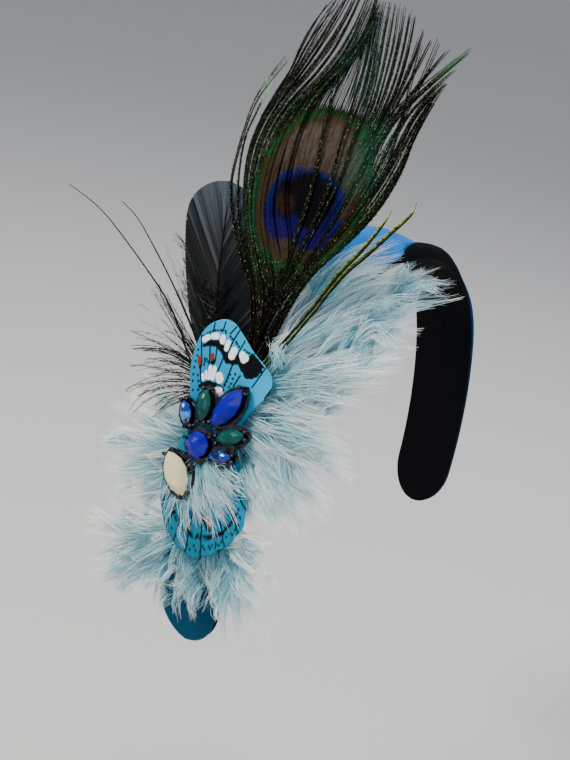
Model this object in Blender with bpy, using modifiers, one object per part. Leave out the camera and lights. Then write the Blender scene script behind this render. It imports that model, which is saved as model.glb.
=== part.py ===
"""A satin head band with a cluster of feathers, a printed silk butterfly and a jewelled brooch.

Lengths are in millimetres and angles in degrees until a point is placed, which turns them to metres.
The origin is the middle of the band's inner face at the crown, where it sits on the head.
+Z is up, +X is the trimmed arm and +Y is the edge towards the face.
"""
import math

import bmesh
import bpy
from mathutils import Matrix, Vector

MM = 0.001
CLEARANCE = 0.3

# The band's inner curve: a crown arc, then a flatter arc down each arm
CROWN_RADIUS = 76.0
CROWN_ANGLE = math.radians(70.0)
FLANK_RADIUS = 140.0
ARM_LENGTH = 172.0
CROWN_WIDTH = 28.0
END_WIDTH = 24.0
END_ROUNDING = 17.0
END_BLUNTNESS = 0.2
BASE_THICKNESS = 1.8
COVER_THICKNESS = 1.2
COVER_HEIGHT = BASE_THICKNESS + CLEARANCE
COVER_TOP = COVER_HEIGHT + COVER_THICKNESS
COVER_FRONT_AT_CROWN = 7.0
COVER_FULL_FROM = 78.0
ROW_SPACING = 7.0
STRIP_COLUMNS = 4
END_STEPS = 5

# The trimming is built up in layers over one spot on the arm, the pad
PAD_ALONG = 92.0
PLUME_THICKNESS = 0.9
VANE_THICKNESS = 0.8
WING_THICKNESS = 0.6
FIRST_PLUMES = COVER_TOP + CLEARANCE
SECOND_PLUMES = FIRST_PLUMES + PLUME_THICKNESS + CLEARANCE
THIRD_PLUMES = SECOND_PLUMES + PLUME_THICKNESS + CLEARANCE
FLUFF_LAYER = THIRD_PLUMES + PLUME_THICKNESS + CLEARANCE
BLACK_LAYER = FLUFF_LAYER + VANE_THICKNESS + CLEARANCE
PEACOCK_LAYER = BLACK_LAYER + VANE_THICKNESS + CLEARANCE
SWORD_LAYER = PEACOCK_LAYER + VANE_THICKNESS + CLEARANCE
WING_LAYER = SWORD_LAYER + WING_THICKNESS + CLEARANCE
FRONT_PLUME_LAYER = WING_LAYER + WING_THICKNESS + CLEARANCE
SETTING_LAYER = FRONT_PLUME_LAYER + PLUME_THICKNESS + CLEARANCE

# How plumes stand off the surface that they follow
PLUME_RISE = 0.0015
LEAN_FROM = -14.0
LEAN_BELOW = 12.0
LEAN_FADE = 12.0
LEAN_RATE = 0.28
ARCH_FROM = 32.0
ARCH_RATE = 0.03

# The brooch
SETTING_THICKNESS = 1.0
SETTING_MARGIN = 1.7
STONE_SEAT = SETTING_LAYER + SETTING_THICKNESS + CLEARANCE
GIRDLE_LOW = 0.9
GIRDLE_HIGH = 1.5
CULET_SHARE = 0.6
CROWN_BREAK = 0.6
NAVETTE_SHARPNESS = 1.45
NAVETTE_FLATTENING = 0.72
CLAW_RADIUS = 0.45
CLAW_BALL_RADIUS = 0.7
CLAW_STANDOFF = CLAW_BALL_RADIUS + CLEARANCE
CLAW_ANGLES = (28.0, 152.0, 208.0, 332.0)
CLAW_SIDES = 8
CLAW_RINGS = 6

# Quills
QUILL_RADIUS = 0.6
QUILL_TIP_SHARE = 0.5
QUILL_POINTS = 14


def clear_scene():
    for obj in list(bpy.data.objects):
        bpy.data.objects.remove(obj, do_unlink=True)


def new_collection(name):
    collection = bpy.data.collections.new(name)
    bpy.context.scene.collection.children.link(collection)
    return collection


clear_scene()
part = new_collection("feather_headband")
tools = new_collection("setting_pieces")


def material(name, colour, roughness, metallic=0.0):
    made = bpy.data.materials.new(name)
    made.use_nodes = True
    surface = made.node_tree.nodes["Principled BSDF"]
    surface.inputs["Base Color"].default_value = (*colour, 1.0)
    surface.inputs["Roughness"].default_value = roughness
    surface.inputs["Metallic"].default_value = metallic
    return made


def blend(start, end, share):
    return start + (end - start) * share


def smooth_step(share):
    share = min(max(share, 0.0), 1.0)
    return share * share * (3.0 - 2.0 * share)


def band_frame(along):
    """Centre, radius and angle of the arc under a point of the +X arm."""
    crown_length = CROWN_RADIUS * CROWN_ANGLE
    if along <= crown_length:
        return (0.0, -CROWN_RADIUS), CROWN_RADIUS, along / CROWN_RADIUS
    step = CROWN_RADIUS - FLANK_RADIUS
    centre = (step * math.sin(CROWN_ANGLE), -CROWN_RADIUS + step * math.cos(CROWN_ANGLE))
    return centre, FLANK_RADIUS, CROWN_ANGLE + (along - crown_length) / FLANK_RADIUS


def over_band(across, along, height):
    """A point above the band's inner face: along is from the crown, positive down the +X arm."""
    centre, radius, angle = band_frame(abs(along))
    x = centre[0] + (radius + height) * math.sin(angle)
    z = centre[1] + (radius + height) * math.cos(angle)
    return Vector((math.copysign(x, along) if along else x, across, z)) * MM


def lying(across, up, height):
    """A point over the pad that follows the band's curve both ways."""
    return over_band(across, PAD_ALONG - up, height)


def rising(across, up, height):
    """A point over the pad that leaves the band's curve straight above the pad."""
    if up <= 0.0:
        return lying(across, up, height)
    return flat(across, up, height)


def fluffed(across, up, height):
    """Over the band's curve, and standing off the head more and more beyond the band's edges."""
    return lying(across, up, height + PLUME_RISE * across ** 2)


def leaning(across, up, height):
    """Above the pad, but swung away from the head towards the back, below the black feather."""
    swing = max(LEAN_FROM - across, 0.0) * smooth_step((LEAN_BELOW - up) / LEAN_FADE)
    return rising(across, up, height + LEAN_RATE * swing)


def arching(across, up, height):
    """Above the pad, with tips that stand forward of the vane behind them."""
    return rising(across, up, height + ARCH_RATE * max(up - ARCH_FROM, 0.0))


def flat(across, up, height):
    """A point over the flat plane that touches the band at the pad."""
    origin = over_band(0.0, PAD_ALONG, height)
    angle = band_frame(PAD_ALONG)[2]
    upward = Vector((-math.cos(angle), 0.0, math.sin(angle)))
    return origin + upward * (up * MM) + Vector((0.0, across * MM, 0.0))


def pad_matrix(across, up, height, turn):
    """Frame of a piece on the flat plane: its X axis is turned from +Y towards the crown."""
    angle = band_frame(PAD_ALONG)[2]
    upward = Vector((-math.cos(angle), 0.0, math.sin(angle)))
    sideways = Vector((0.0, 1.0, 0.0))
    outward = sideways.cross(upward)
    turn = math.radians(turn)
    x_axis = sideways * math.cos(turn) + upward * math.sin(turn)
    y_axis = outward.cross(x_axis)
    matrix = Matrix.Identity(4)
    for column, entry in enumerate((x_axis, y_axis, outward, flat(across, up, height))):
        for row in range(3):
            matrix[row][column] = entry[row]
    return matrix


def add_object(name, mesh, finish, collection=None):
    obj = bpy.data.objects.new(name, mesh)
    (collection or part).objects.link(obj)
    mesh.materials.clear()
    mesh.materials.append(finish)
    return obj


def finish_smooth(obj, angle=40.0):
    obj.data.shade_smooth()
    obj.data.set_sharp_from_angle(angle=math.radians(angle))


def thicken(obj, thickness):
    """Solidify an open surface away from the head."""
    shell = obj.modifiers.new("thickness", "SOLIDIFY")
    shell.thickness = thickness * MM
    shell.offset = 1.0


def sheet_object(name, made, thickness, finish):
    """Turn a bmesh surface into a named sheet of even thickness."""
    mesh = bpy.data.meshes.new(name)
    made.to_mesh(mesh)
    made.free()
    obj = add_object(name, mesh, finish)
    finish_smooth(obj)
    thicken(obj, thickness)


def sheet(name, rows, thickness, finish):
    """A loft through rows of points, each row from the back edge to the front edge, lowest row first."""
    made = bmesh.new()
    grid = [[made.verts.new(point) for point in row] for row in rows]
    for low, high in zip(grid, grid[1:]):
        for column in range(len(low) - 1):
            made.faces.new((low[column], low[column + 1], high[column + 1], high[column]))
    sheet_object(name, made, thickness, finish)


def half_width(along):
    """Half the band's width, which closes in a round end."""
    width = blend(CROWN_WIDTH, END_WIDTH, abs(along) / ARM_LENGTH) / 2.0
    to_end = ARM_LENGTH - abs(along)
    if to_end >= END_ROUNDING:
        return width
    closing = math.sqrt(1.0 - (1.0 - to_end / END_ROUNDING) ** 2)
    return width * max(closing, END_BLUNTNESS)


def cover_front(along):
    """The cover's front edge: it leaves a strip of the base bare over the crown."""
    full = half_width(along)
    return blend(COVER_FRONT_AT_CROWN, full, smooth_step(abs(along) / COVER_FULL_FROM))


def arm_stations():
    """Places down one arm, closer together where the end is round."""
    straight = ARM_LENGTH - END_ROUNDING
    count = round(straight / ROW_SPACING)
    stations = [straight * row / count for row in range(count)]
    for step in range(END_STEPS + 1):
        turn = math.radians(90.0) * step / END_STEPS
        stations.append(straight + END_ROUNDING * math.sin(turn))
    return stations


def band_strip(name, height, thickness, front_edge, finish):
    stations = arm_stations()
    route = stations[::-1] + [-station for station in stations[1:]]
    rows = []
    for along in route:
        back = -half_width(along)
        front = front_edge(along)
        shares = [column / STRIP_COLUMNS for column in range(STRIP_COLUMNS + 1)]
        rows.append([over_band(blend(back, front, share), along, height) for share in shares])
    sheet(name, rows, thickness, finish)


def make_band():
    black = material("black_lining", (0.012, 0.013, 0.018), 0.7)
    blue = material("blue_satin", (0.0, 0.2, 0.52), 0.35)
    band_strip("base_band", 0.0, BASE_THICKNESS, half_width, black)
    band_strip("satin_cover", COVER_HEIGHT, COVER_THICKNESS, cover_front, blue)


# A plume is a row of locks that share one root and part from each other on the way out.
# across, up: the lock's tip.  curl: sideways bow over its length, positive to its left.
# split: share of the length where it parts from the next lock.
LOCK_ROWS = 7
TIP_SHARE = 0.12
TIP_FULLNESS = 1.3


def lock_point(root, lock, share):
    """A point on the lock's centre line, which bows to one side."""
    across, up, curl, split = lock
    run = (across - root[0], up - root[1])
    middle = (root[0] + run[0] / 2.0 - run[1] * curl, root[1] + run[1] / 2.0 + run[0] * curl)
    rest = 1.0 - share
    u = rest * rest * root[0] + 2.0 * rest * share * middle[0] + share * share * across
    v = rest * rest * root[1] + 2.0 * rest * share * middle[1] + share * share * up
    return u, v


def midway(first, second):
    return tuple((a + b) / 2.0 for a, b in zip(first, second))


def mirrored(edge, centre):
    return tuple(2.0 * c - e for e, c in zip(edge, centre))


def plume(name, root, fork, width, locks, place, height, thickness, finish):
    """One closed sheet: a stem from the root to the fork, then a lock for each row of the table."""
    count = len(locks)
    lean = (locks[-1][1] - locks[0][1], locks[0][0] - locks[-1][0])
    size = math.hypot(*lean)
    side = (-lean[1] / size, lean[0] / size)
    centres = []
    for index, lock in enumerate(locks):
        offset = width * ((index + 0.5) / count - 0.5)
        shift = (side[0] * offset, side[1] * offset)
        start = (fork[0] + shift[0], fork[1] + shift[1])
        stem = (root[0] + shift[0], root[1] + shift[1])
        centres.append([stem] + [lock_point(start, lock, row / LOCK_ROWS) for row in range(LOCK_ROWS + 1)])
    last_row = LOCK_ROWS + 1
    splits = [1 + max(1, round(lock[3] * LOCK_ROWS)) for lock in locks[:-1]]

    made = bmesh.new()

    def vertex(point):
        return made.verts.new(place(point[0], point[1], height))

    def taper(edge_at_split, centre_at_split, centre, row, split):
        """An edge past its split closes on the lock's tip."""
        gone = (row - split) / (last_row - split)
        keep = blend(1.0, TIP_SHARE, gone ** TIP_FULLNESS)
        return tuple(c + (e - s) * keep for e, s, c in zip(edge_at_split, centre_at_split, centre))

    left_edges = []
    right_edges = []
    for index in range(count - 1):
        split = splits[index]
        ours = centres[index]
        theirs = centres[index + 1]
        shared = [midway(ours[row], theirs[row]) for row in range(split + 1)]
        shared_vertices = [vertex(point) for point in shared]
        right = list(shared_vertices)
        left = list(shared_vertices)
        for row in range(split + 1, last_row + 1):
            right.append(vertex(taper(shared[split], ours[split], ours[row], row, split)))
            left.append(vertex(taper(shared[split], theirs[split], theirs[row], row, split)))
        right_edges.append(right)
        left_edges.append(left)

    def outer_edge(own, neighbour, split):
        edge = [mirrored(midway(own[row], neighbour[row]), own[row]) for row in range(split + 1)]
        vertices = [vertex(point) for point in edge]
        for row in range(split + 1, last_row + 1):
            vertices.append(vertex(taper(edge[split], own[split], own[row], row, split)))
        return vertices

    left_edges.insert(0, outer_edge(centres[0], centres[1], splits[0]))
    right_edges.append(outer_edge(centres[-1], centres[-2], splits[-1]))
    for left, right in zip(left_edges, right_edges):
        for row in range(last_row):
            made.faces.new((left[row], right[row], right[row + 1], left[row + 1]))
    sheet_object(name, made, thickness, finish)


# Pale marabou plumes, which lie along the band
#   name, layer, root, fork (across, up), width there, locks (across, up, curl, split)
MARABOU = (
    ("marabou_crown", FIRST_PLUMES, (3.0, 5.0), (6.0, 16.0), 10.0, (
        (1.0, 48.0, 0.08, 0.45),
        (2.0, 60.0, 0.06, 0.55),
        (4.0, 70.0, 0.04, 0.6),
        (12.0, 77.0, 0.02, 0.62),
        (21.0, 79.0, -0.02, 0.62),
        (31.0, 78.0, -0.06, 0.6),
        (39.0, 68.0, -0.08, 0.5),
        (42.0, 56.0, -0.1, 0.5))),
    ("marabou_curl", THIRD_PLUMES, (-1.0, 2.0), (9.0, 13.0), 8.0, (
        (29.0, 47.0, -0.1, 0.4),
        (40.0, 45.0, -0.1, 0.5),
        (49.0, 39.0, -0.12, 0.5),
        (49.0, 31.0, -0.08, 0.5),
        (46.0, 23.0, 0.0, 0.45),
        (33.0, 21.0, 0.0, 0.4))),
    ("marabou_front", SECOND_PLUMES, (-1.0, -1.0), (7.0, 1.0), 10.0, (
        (44.0, 18.0, 0.1, 0.4),
        (49.0, 9.0, 0.06, 0.5),
        (53.0, 3.0, 0.03, 0.55),
        (51.0, -7.0, -0.03, 0.55),
        (45.0, -16.0, -0.06, 0.5),
        (36.0, -23.0, -0.08, 0.5),
        (24.0, -24.0, -0.1, 0.4))),
    ("marabou_back", FIRST_PLUMES, (-1.0, -6.0), (-8.0, -11.0), 11.0, (
        (-24.0, -36.0, 0.05, 0.4),
        (-35.0, -38.0, 0.03, 0.45),
        (-40.0, -29.0, 0.0, 0.5),
        (-46.0, -21.0, 0.0, 0.5),
        (-43.0, -9.0, -0.04, 0.5),
        (-33.0, 0.0, -0.06, 0.4))),
    ("marabou_low_back", SECOND_PLUMES, (-4.0, -36.0), (-9.0, -41.0), 8.0, (
        (-28.0, -71.0, 0.06, 0.4),
        (-34.0, -69.0, 0.04, 0.45),
        (-41.0, -63.0, 0.0, 0.45),
        (-43.0, -52.0, -0.02, 0.5),
        (-35.0, -43.0, -0.05, 0.4))),
    ("marabou_low", FIRST_PLUMES, (0.0, -30.0), (-1.0, -38.0), 12.0, (
        (14.0, -60.0, 0.06, 0.4),
        (8.0, -68.0, 0.04, 0.5),
        (0.0, -74.0, 0.02, 0.55),
        (-9.0, -76.0, -0.02, 0.55),
        (-20.0, -75.0, -0.04, 0.5),
        (-30.0, -77.0, -0.06, 0.5))),
    ("marabou_low_front", SECOND_PLUMES, (4.0, -33.0), (9.0, -36.0), 8.0, (
        (32.0, -29.0, 0.05, 0.4),
        (38.0, -36.0, 0.03, 0.45),
        (34.0, -47.0, 0.0, 0.5),
        (33.0, -59.0, -0.03, 0.5),
        (21.0, -58.0, -0.06, 0.4))),
    ("marabou_over_wing", FRONT_PLUME_LAYER, (0.0, -9.0), (0.0, -14.0), 12.0, (
        (24.0, -12.0, 0.12, 0.5),
        (25.0, -19.0, 0.1, 0.6),
        (22.0, -28.0, 0.06, 0.65),
        (16.0, -35.0, 0.03, 0.65),
        (7.0, -41.0, 0.0, 0.6),
        (-5.0, -42.0, -0.04, 0.6),
        (-12.0, -36.0, -0.1, 0.5))),
)


def make_marabou():
    for name, layer, root, fork, width, locks in MARABOU:
        pale = material(name, (0.42, 0.68, 0.76), 0.9)
        plume(name, root, fork, width, locks, fluffed, layer, PLUME_THICKNESS, pale)


BLACK_FLUFF_LOCKS = (
    (-21.0, -1.0, 0.05, 0.3),
    (-28.0, -6.0, 0.05, 0.35),
    (-34.0, 0.0, 0.04, 0.35),
    (-39.0, 8.0, 0.02, 0.4),
    (-46.0, 13.0, 0.0, 0.4),
    (-46.0, 24.0, 0.0, 0.4),
    (-43.0, 34.0, 0.0, 0.4),
    (-44.0, 46.0, 0.02, 0.4),
)
BLACK_VANE_LOCKS = (
    (-39.0, 65.0, 0.14, 0.92),
    (-35.5, 71.0, 0.08, 0.92),
    (-28.0, 74.0, 0.0, 0.92),
    (-20.5, 72.0, -0.08, 0.92),
    (-14.0, 65.0, -0.14, 0.92),
)
PEACOCK_LOCKS = (
    (-25.0, 117.0, 0.33, 0.15),
    (-17.0, 138.0, 0.24, 0.6),
    (-9.0, 146.0, 0.14, 0.7),
    (-1.0, 144.0, 0.05, 0.72),
    (7.0, 141.0, -0.03, 0.72),
    (15.0, 140.0, -0.1, 0.7),
    (24.0, 134.0, -0.15, 0.65),
    (37.0, 131.0, -0.15, 0.55),
    (35.0, 113.0, -0.24, 0.55),
)
SWORD_BARB_LOCKS = (
    (31.0, 78.0, -0.08, 0.1),
    (38.5, 83.0, -0.04, 0.1),
)


def make_vanes():
    """The broad black feather, its fluff, the peacock's eye feather and its two loose barbs."""
    black = material("black_vane", (0.02, 0.024, 0.032), 0.45)
    fluff = material("black_fluff", (0.01, 0.01, 0.012), 0.9)
    peacock = material("peacock_vane", (0.035, 0.06, 0.035), 0.5)
    sword = material("peacock_barb", (0.2, 0.22, 0.04), 0.4)
    plume("black_fluff", (4.0, 0.0), (-10.0, 10.0), 9.0, BLACK_FLUFF_LOCKS, leaning, FLUFF_LAYER,
          VANE_THICKNESS, fluff)
    plume("black_feather", (-3.0, 2.0), (-9.0, 12.0), 7.0, BLACK_VANE_LOCKS, rising, BLACK_LAYER,
          VANE_THICKNESS, black)
    plume("peacock_feather", (2.0, 3.0), (4.0, 22.0), 7.0, PEACOCK_LOCKS, rising, PEACOCK_LAYER,
          VANE_THICKNESS, peacock)
    plume("peacock_sword_barbs", (3.0, 5.0), (4.0, 15.0), 3.0, SWORD_BARB_LOCKS, arching, SWORD_LAYER,
          WING_THICKNESS, sword)


# The butterfly is one sheet: both rims run from the back edge to the front edge
WING_RIM = (
    (-11.0, 3.0), (-14.4, 9.8), (-16.1, 16.0), (-15.8, 23.5), (-13.4, 28.4), (-9.3, 31.4), (-5.0, 31.6),
    (-1.0, 29.4), (5.6, 25.2), (11.4, 22.4), (14.2, 20.4), (15.4, 17.0), (14.3, 13.2), (11.9, 9.3),
    (9.6, 4.0))
TAIL_RIM = (
    (-8.0, -6.0), (-11.0, -14.0), (-12.0, -23.0), (-10.0, -31.0), (-6.0, -37.0), (-2.0, -41.0),
    (2.0, -43.2), (6.5, -43.4), (11.0, -41.0), (15.5, -37.4), (19.5, -32.5), (22.3, -27.0),
    (22.4, -21.0), (18.5, -13.0), (11.0, -5.0))
BODY_UP = -1.0
BODY_BACK = -8.0
BODY_FRONT = 9.0
WING_RINGS = 3
WING_CUP = 0.0012


def wing_row(rim, share):
    """A row between the body and a rim; the sheet cups away from the head as it goes out."""
    points = []
    for index, (across, up) in enumerate(rim):
        start = blend(BODY_BACK, BODY_FRONT, index / (len(rim) - 1))
        u = blend(start, across, share)
        v = blend(BODY_UP, up, share)
        points.append(rising(u, v, WING_LAYER + WING_CUP * max(v, 0.0) ** 2))
    return points


def make_butterfly():
    printed = material("printed_silk", (0.04, 0.33, 0.5), 0.5)
    rows = [wing_row(TAIL_RIM, ring / WING_RINGS) for ring in range(WING_RINGS, -1, -1)]
    rows += [wing_row(WING_RIM, ring / WING_RINGS) for ring in range(1, WING_RINGS + 1)]
    sheet("butterfly", rows, WING_THICKNESS, printed)


# Quills: points as across, up, height
QUILLS = (
    ("black_quill_long", (
        (-7.0, 8.0, 10.1), (-18.5, 15.5, 10.1), (-26.5, 23.5, 10.4), (-35.0, 31.0, 12.0),
        (-52.0, 42.0, 16.0), (-66.0, 50.0, 20.0), (-78.5, 54.0, 24.0))),
    ("black_quill_short", (
        (-8.0, 13.0, 10.1), (-16.0, 19.5, 10.1), (-23.0, 26.0, 10.4), (-34.0, 36.0, 12.0),
        (-44.0, 45.0, 15.0), (-51.5, 51.5, 18.0), (-58.5, 55.0, 20.0))),
)


def smooth_route(points, count):
    """Points read from a smooth curve through the route's own points."""
    spans = len(points) - 1
    route = []
    for step in range(count):
        place = spans * step / (count - 1)
        span = min(int(place), spans - 1)
        share = place - span
        before = points[max(span - 1, 0)]
        start = points[span]
        end = points[span + 1]
        after = points[min(span + 2, spans)]
        route.append(tuple(
            0.5 * (2.0 * s + (e - b) * share + (2.0 * b - 5.0 * s + 4.0 * e - a) * share ** 2
                   + (3.0 * s - b - 3.0 * e + a) * share ** 3)
            for b, s, e, a in zip(before, start, end, after)))
    return route


def make_quills():
    for name, points in QUILLS:
        black = material(name, (0.01, 0.01, 0.012), 0.5)
        curve = bpy.data.curves.new(name, "CURVE")
        curve.dimensions = "3D"
        curve.bevel_depth = QUILL_RADIUS * MM
        curve.bevel_resolution = 2
        curve.use_fill_caps = True
        spline = curve.splines.new("POLY")
        spline.points.add(QUILL_POINTS - 1)
        for index, point in enumerate(smooth_route(points, QUILL_POINTS)):
            spline.points[index].co = (*flat(*point), 1.0)
            spline.points[index].radius = blend(1.0, QUILL_TIP_SHARE, index / (QUILL_POINTS - 1))
        obj = bpy.data.objects.new(name, curve)
        curve.materials.append(black)
        part.objects.link(obj)


# Stones: name, across, up, turn, length, width, height, table's share of the outline, sides,
# colour, roughness.  A turn of 0 points the length along +Y, and 90 points it at the crown.
STONES = (
    ("cobalt_navette", 5.2, 6.4, 67.0, 15.0, 7.2, 3.6, 0.42, 12, (0.004, 0.012, 0.56), 0.12),
    ("green_navette_upper", -3.2, 4.2, 103.0, 10.0, 5.0, 3.0, 0.42, 12, (0.0, 0.16, 0.12), 0.12),
    ("green_navette_front", 10.0, -1.6, 27.0, 10.0, 5.0, 3.0, 0.42, 12, (0.0, 0.2, 0.15), 0.12),
    ("sapphire_navette_back", -8.6, -0.4, 122.0, 8.0, 4.0, 2.6, 0.42, 12, (0.004, 0.05, 0.5), 0.05),
    ("sapphire_navette_low", 9.0, -8.6, 17.0, 8.0, 4.0, 2.6, 0.42, 12, (0.004, 0.05, 0.5), 0.05),
    ("cobalt_point", -0.4, -8.2, 22.0, 8.6, 8.6, 4.2, 0.16, 8, (0.004, 0.012, 0.5), 0.1),
    ("cream_navette", -4.0, -19.4, 135.0, 15.0, 8.4, 3.6, 0.6, 12, (0.72, 0.68, 0.54), 0.2),
)


def stone_outline(length, width, sides, grow=0.0):
    """Points round a stone; one with unequal length and width is pointed at both ends."""
    sharpness = 1.0 if length == width else NAVETTE_SHARPNESS
    outline = []
    for step in range(sides):
        turn = 2.0 * math.pi * step / sides
        x = (length / 2.0 + grow) * math.cos(turn)
        y = (width / 2.0 + grow) * math.copysign(abs(math.sin(turn)) ** sharpness, math.sin(turn))
        outline.append((x, y))
    return outline


def stack(name, outline, levels, finish, collection=None):
    """A closed solid through scaled copies of an outline; levels are pairs of height and scale."""
    made = bmesh.new()
    rings = []
    for height, scale in levels:
        rings.append([made.verts.new((x * scale * MM, y * scale * MM, height * MM)) for x, y in outline])
    for low, high in zip(rings, rings[1:]):
        for index in range(len(outline)):
            after = (index + 1) % len(outline)
            made.faces.new((low[index], low[after], high[after], high[index]))
    made.faces.new(list(reversed(rings[0])))
    made.faces.new(rings[-1])
    mesh = bpy.data.meshes.new(name)
    made.to_mesh(mesh)
    made.free()
    return add_object(name, mesh, finish, collection)


def on_stone(stone, x, y):
    """Across and up of a point given in a stone's own frame."""
    across, up, turn = stone[1:4]
    angle = math.radians(turn)
    return (across + x * math.cos(angle) - y * math.sin(angle),
            up + x * math.sin(angle) + y * math.cos(angle))


def near_stone(stone, across, up, reach):
    """Whether a point of the pad is within reach of a stone's outline."""
    _, centre_across, centre_up, turn, length, width = stone[:6]
    angle = math.radians(turn)
    x = (across - centre_across) * math.cos(angle) + (up - centre_up) * math.sin(angle)
    y = (up - centre_up) * math.cos(angle) - (across - centre_across) * math.sin(angle)
    inside_x = abs(x) / (length / 2.0 + reach)
    inside_y = abs(y) / (width / 2.0 + reach)
    return inside_x ** 2 + inside_y ** 2 < 1.0


def claw_places(stone):
    """Where claws stand round a stone, leaving out those that would press a neighbour."""
    length, width = stone[4:6]
    places = []
    for angle in CLAW_ANGLES:
        turn = math.radians(angle)
        flatten = 1.0 if length == width else NAVETTE_FLATTENING
        x = (length / 2.0 + CLAW_STANDOFF) * math.cos(turn)
        y = (width / 2.0 + CLAW_STANDOFF) * math.sin(turn) * flatten
        across, up = on_stone(stone, x, y)
        others = [other for other in STONES if other is not stone]
        if not any(near_stone(other, across, up, CLAW_STANDOFF) for other in others):
            places.append((across, up))
    return places


def make_stones():
    for stone in STONES:
        name, across, up, turn, length, width, height, table, sides, colour, roughness = stone
        outline = stone_outline(length, width, sides)
        crown = blend(GIRDLE_HIGH, height, CROWN_BREAK)
        levels = (
            (0.0, CULET_SHARE),
            (GIRDLE_LOW, 1.0),
            (GIRDLE_HIGH, 1.0),
            (crown, blend(1.0, table, 0.5)),
            (height, table))
        obj = stack(name, outline, levels, material(name, colour, roughness))
        obj.matrix_world = pad_matrix(across, up, STONE_SEAT, turn)


def claw_post(height):
    """A post that starts inside the cup, so that no two of their faces lie in one plane."""
    post = bmesh.new()
    low = SETTING_THICKNESS * MM / 2.0
    high = height * MM
    bmesh.ops.create_cone(post, cap_ends=True, segments=CLAW_SIDES, radius1=CLAW_RADIUS * MM,
                          radius2=CLAW_RADIUS * MM, depth=high - low)
    bmesh.ops.translate(post, verts=post.verts, vec=(0.0, 0.0, (low + high) / 2.0))
    return post


def claw_tip(height):
    ball = bmesh.new()
    bmesh.ops.create_uvsphere(ball, u_segments=CLAW_SIDES, v_segments=CLAW_RINGS,
                              radius=CLAW_BALL_RADIUS * MM)
    bmesh.ops.translate(ball, verts=ball.verts, vec=(0.0, 0.0, height * MM))
    return ball


def setting_piece(made, name, finish, across, up):
    mesh = bpy.data.meshes.new(name)
    made.to_mesh(mesh)
    made.free()
    obj = add_object(name, mesh, finish, tools)
    obj.matrix_world = pad_matrix(across, up, SETTING_LAYER, 0.0)
    return obj


def make_setting():
    """The cups and claws of the brooch, joined into one casting."""
    metal = material("gunmetal", (0.02, 0.02, 0.022), 0.35, 1.0)
    claw_height = SETTING_THICKNESS + CLEARANCE + GIRDLE_HIGH
    pieces = []
    setting = None
    for stone in STONES:
        name, across, up, turn, length, width = stone[:6]
        outline = stone_outline(length, width, stone[8], SETTING_MARGIN)
        levels = ((0.0, 1.0), (SETTING_THICKNESS, 1.0))
        collection = tools if setting else part
        cup = stack(name + "_cup", outline, levels, metal, collection)
        cup.matrix_world = pad_matrix(across, up, SETTING_LAYER, turn)
        if setting:
            pieces.append(cup)
        else:
            setting = cup
        for place in claw_places(stone):
            pieces.append(setting_piece(claw_post(claw_height), name + "_claw", metal, *place))
            pieces.append(setting_piece(claw_tip(claw_height), name + "_claw_tip", metal, *place))
    setting.name = "brooch_setting"
    union = setting.modifiers.new("casting", "BOOLEAN")
    union.operation = "UNION"
    union.operand_type = "COLLECTION"
    union.collection = tools
    union.solver = "EXACT"
    union.use_self = True
    for piece in pieces:
        piece.hide_render = True
        piece.display_type = "WIRE"


make_band()
make_marabou()
make_vanes()
make_butterfly()
make_quills()
make_stones()
make_setting()
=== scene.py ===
"""The looks of a trimmed head band: satin, down plumes, a peacock eye feather, printed silk and stones.

Lengths are in millimetres until a point is placed, which turns them to metres.
"""

import math

import bpy
import numpy as np
from mathutils import Matrix, Vector


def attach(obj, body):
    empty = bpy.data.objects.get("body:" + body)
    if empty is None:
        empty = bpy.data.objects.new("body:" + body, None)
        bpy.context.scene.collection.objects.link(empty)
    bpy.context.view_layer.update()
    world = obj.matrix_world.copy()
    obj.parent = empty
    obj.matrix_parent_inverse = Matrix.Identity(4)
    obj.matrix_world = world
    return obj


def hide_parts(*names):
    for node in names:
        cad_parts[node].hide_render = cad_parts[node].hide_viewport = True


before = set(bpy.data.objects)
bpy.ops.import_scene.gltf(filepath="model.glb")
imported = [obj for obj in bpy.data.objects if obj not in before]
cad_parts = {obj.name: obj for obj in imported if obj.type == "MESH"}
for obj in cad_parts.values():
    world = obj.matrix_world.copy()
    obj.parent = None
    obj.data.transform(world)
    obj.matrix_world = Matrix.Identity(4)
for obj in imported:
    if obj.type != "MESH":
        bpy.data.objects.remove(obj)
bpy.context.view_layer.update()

MM = 0.001

# The band's inner curve, as the solids have it
CROWN_RADIUS = 76.0
CROWN_ANGLE = math.radians(70.0)
FLANK_RADIUS = 140.0
ARM_LENGTH = 172.0
CROWN_WIDTH = 28.0
END_WIDTH = 24.0
END_ROUNDING = 17.0
BASE_THICKNESS = 1.8
EDGE_ROUNDING = 1.6
# The satin ribbon over it, and the low bow in which it stands at the crown
COVER_HEIGHT = 2.1
COVER_THICKNESS = 1.2
COVER_FRONT_AT_CROWN = 7.0
COVER_FULL_FROM = 78.0
COVER_WIDENS_FROM = -15.0
COVER_WIDENS_OVER = 26.0
COVER_BOW = 2.6
COVER_BOW_FROM = -26.0
COVER_BOW_TO = 62.0
# Rise of the flocked edge where it is rolled up beside the ribbon
ROLL_HEIGHT = 2.9
# The middle of the trimming, from the crown down the arm
PAD_ALONG = 92.0

# Heights of the trimming's layers above the band's inner face
FIRST_PLUMES = 3.6
SECOND_PLUMES = 4.8
THIRD_PLUMES = 6.0
FLUFF_LAYER = 7.2
BLACK_LAYER = 8.3
PEACOCK_LAYER = 9.4
WING_LAYER = 11.4
FRONT_PLUME_LAYER = 12.3
# Rise of the plumes off the head, per square of their distance from the band's middle
PLUME_RISE = 0.0015


def blend(start, end, share):
    return start + (end - start) * share


def smooth_step(share):
    share = np.clip(share, 0.0, 1.0)
    return share * share * (3.0 - 2.0 * share)


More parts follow.
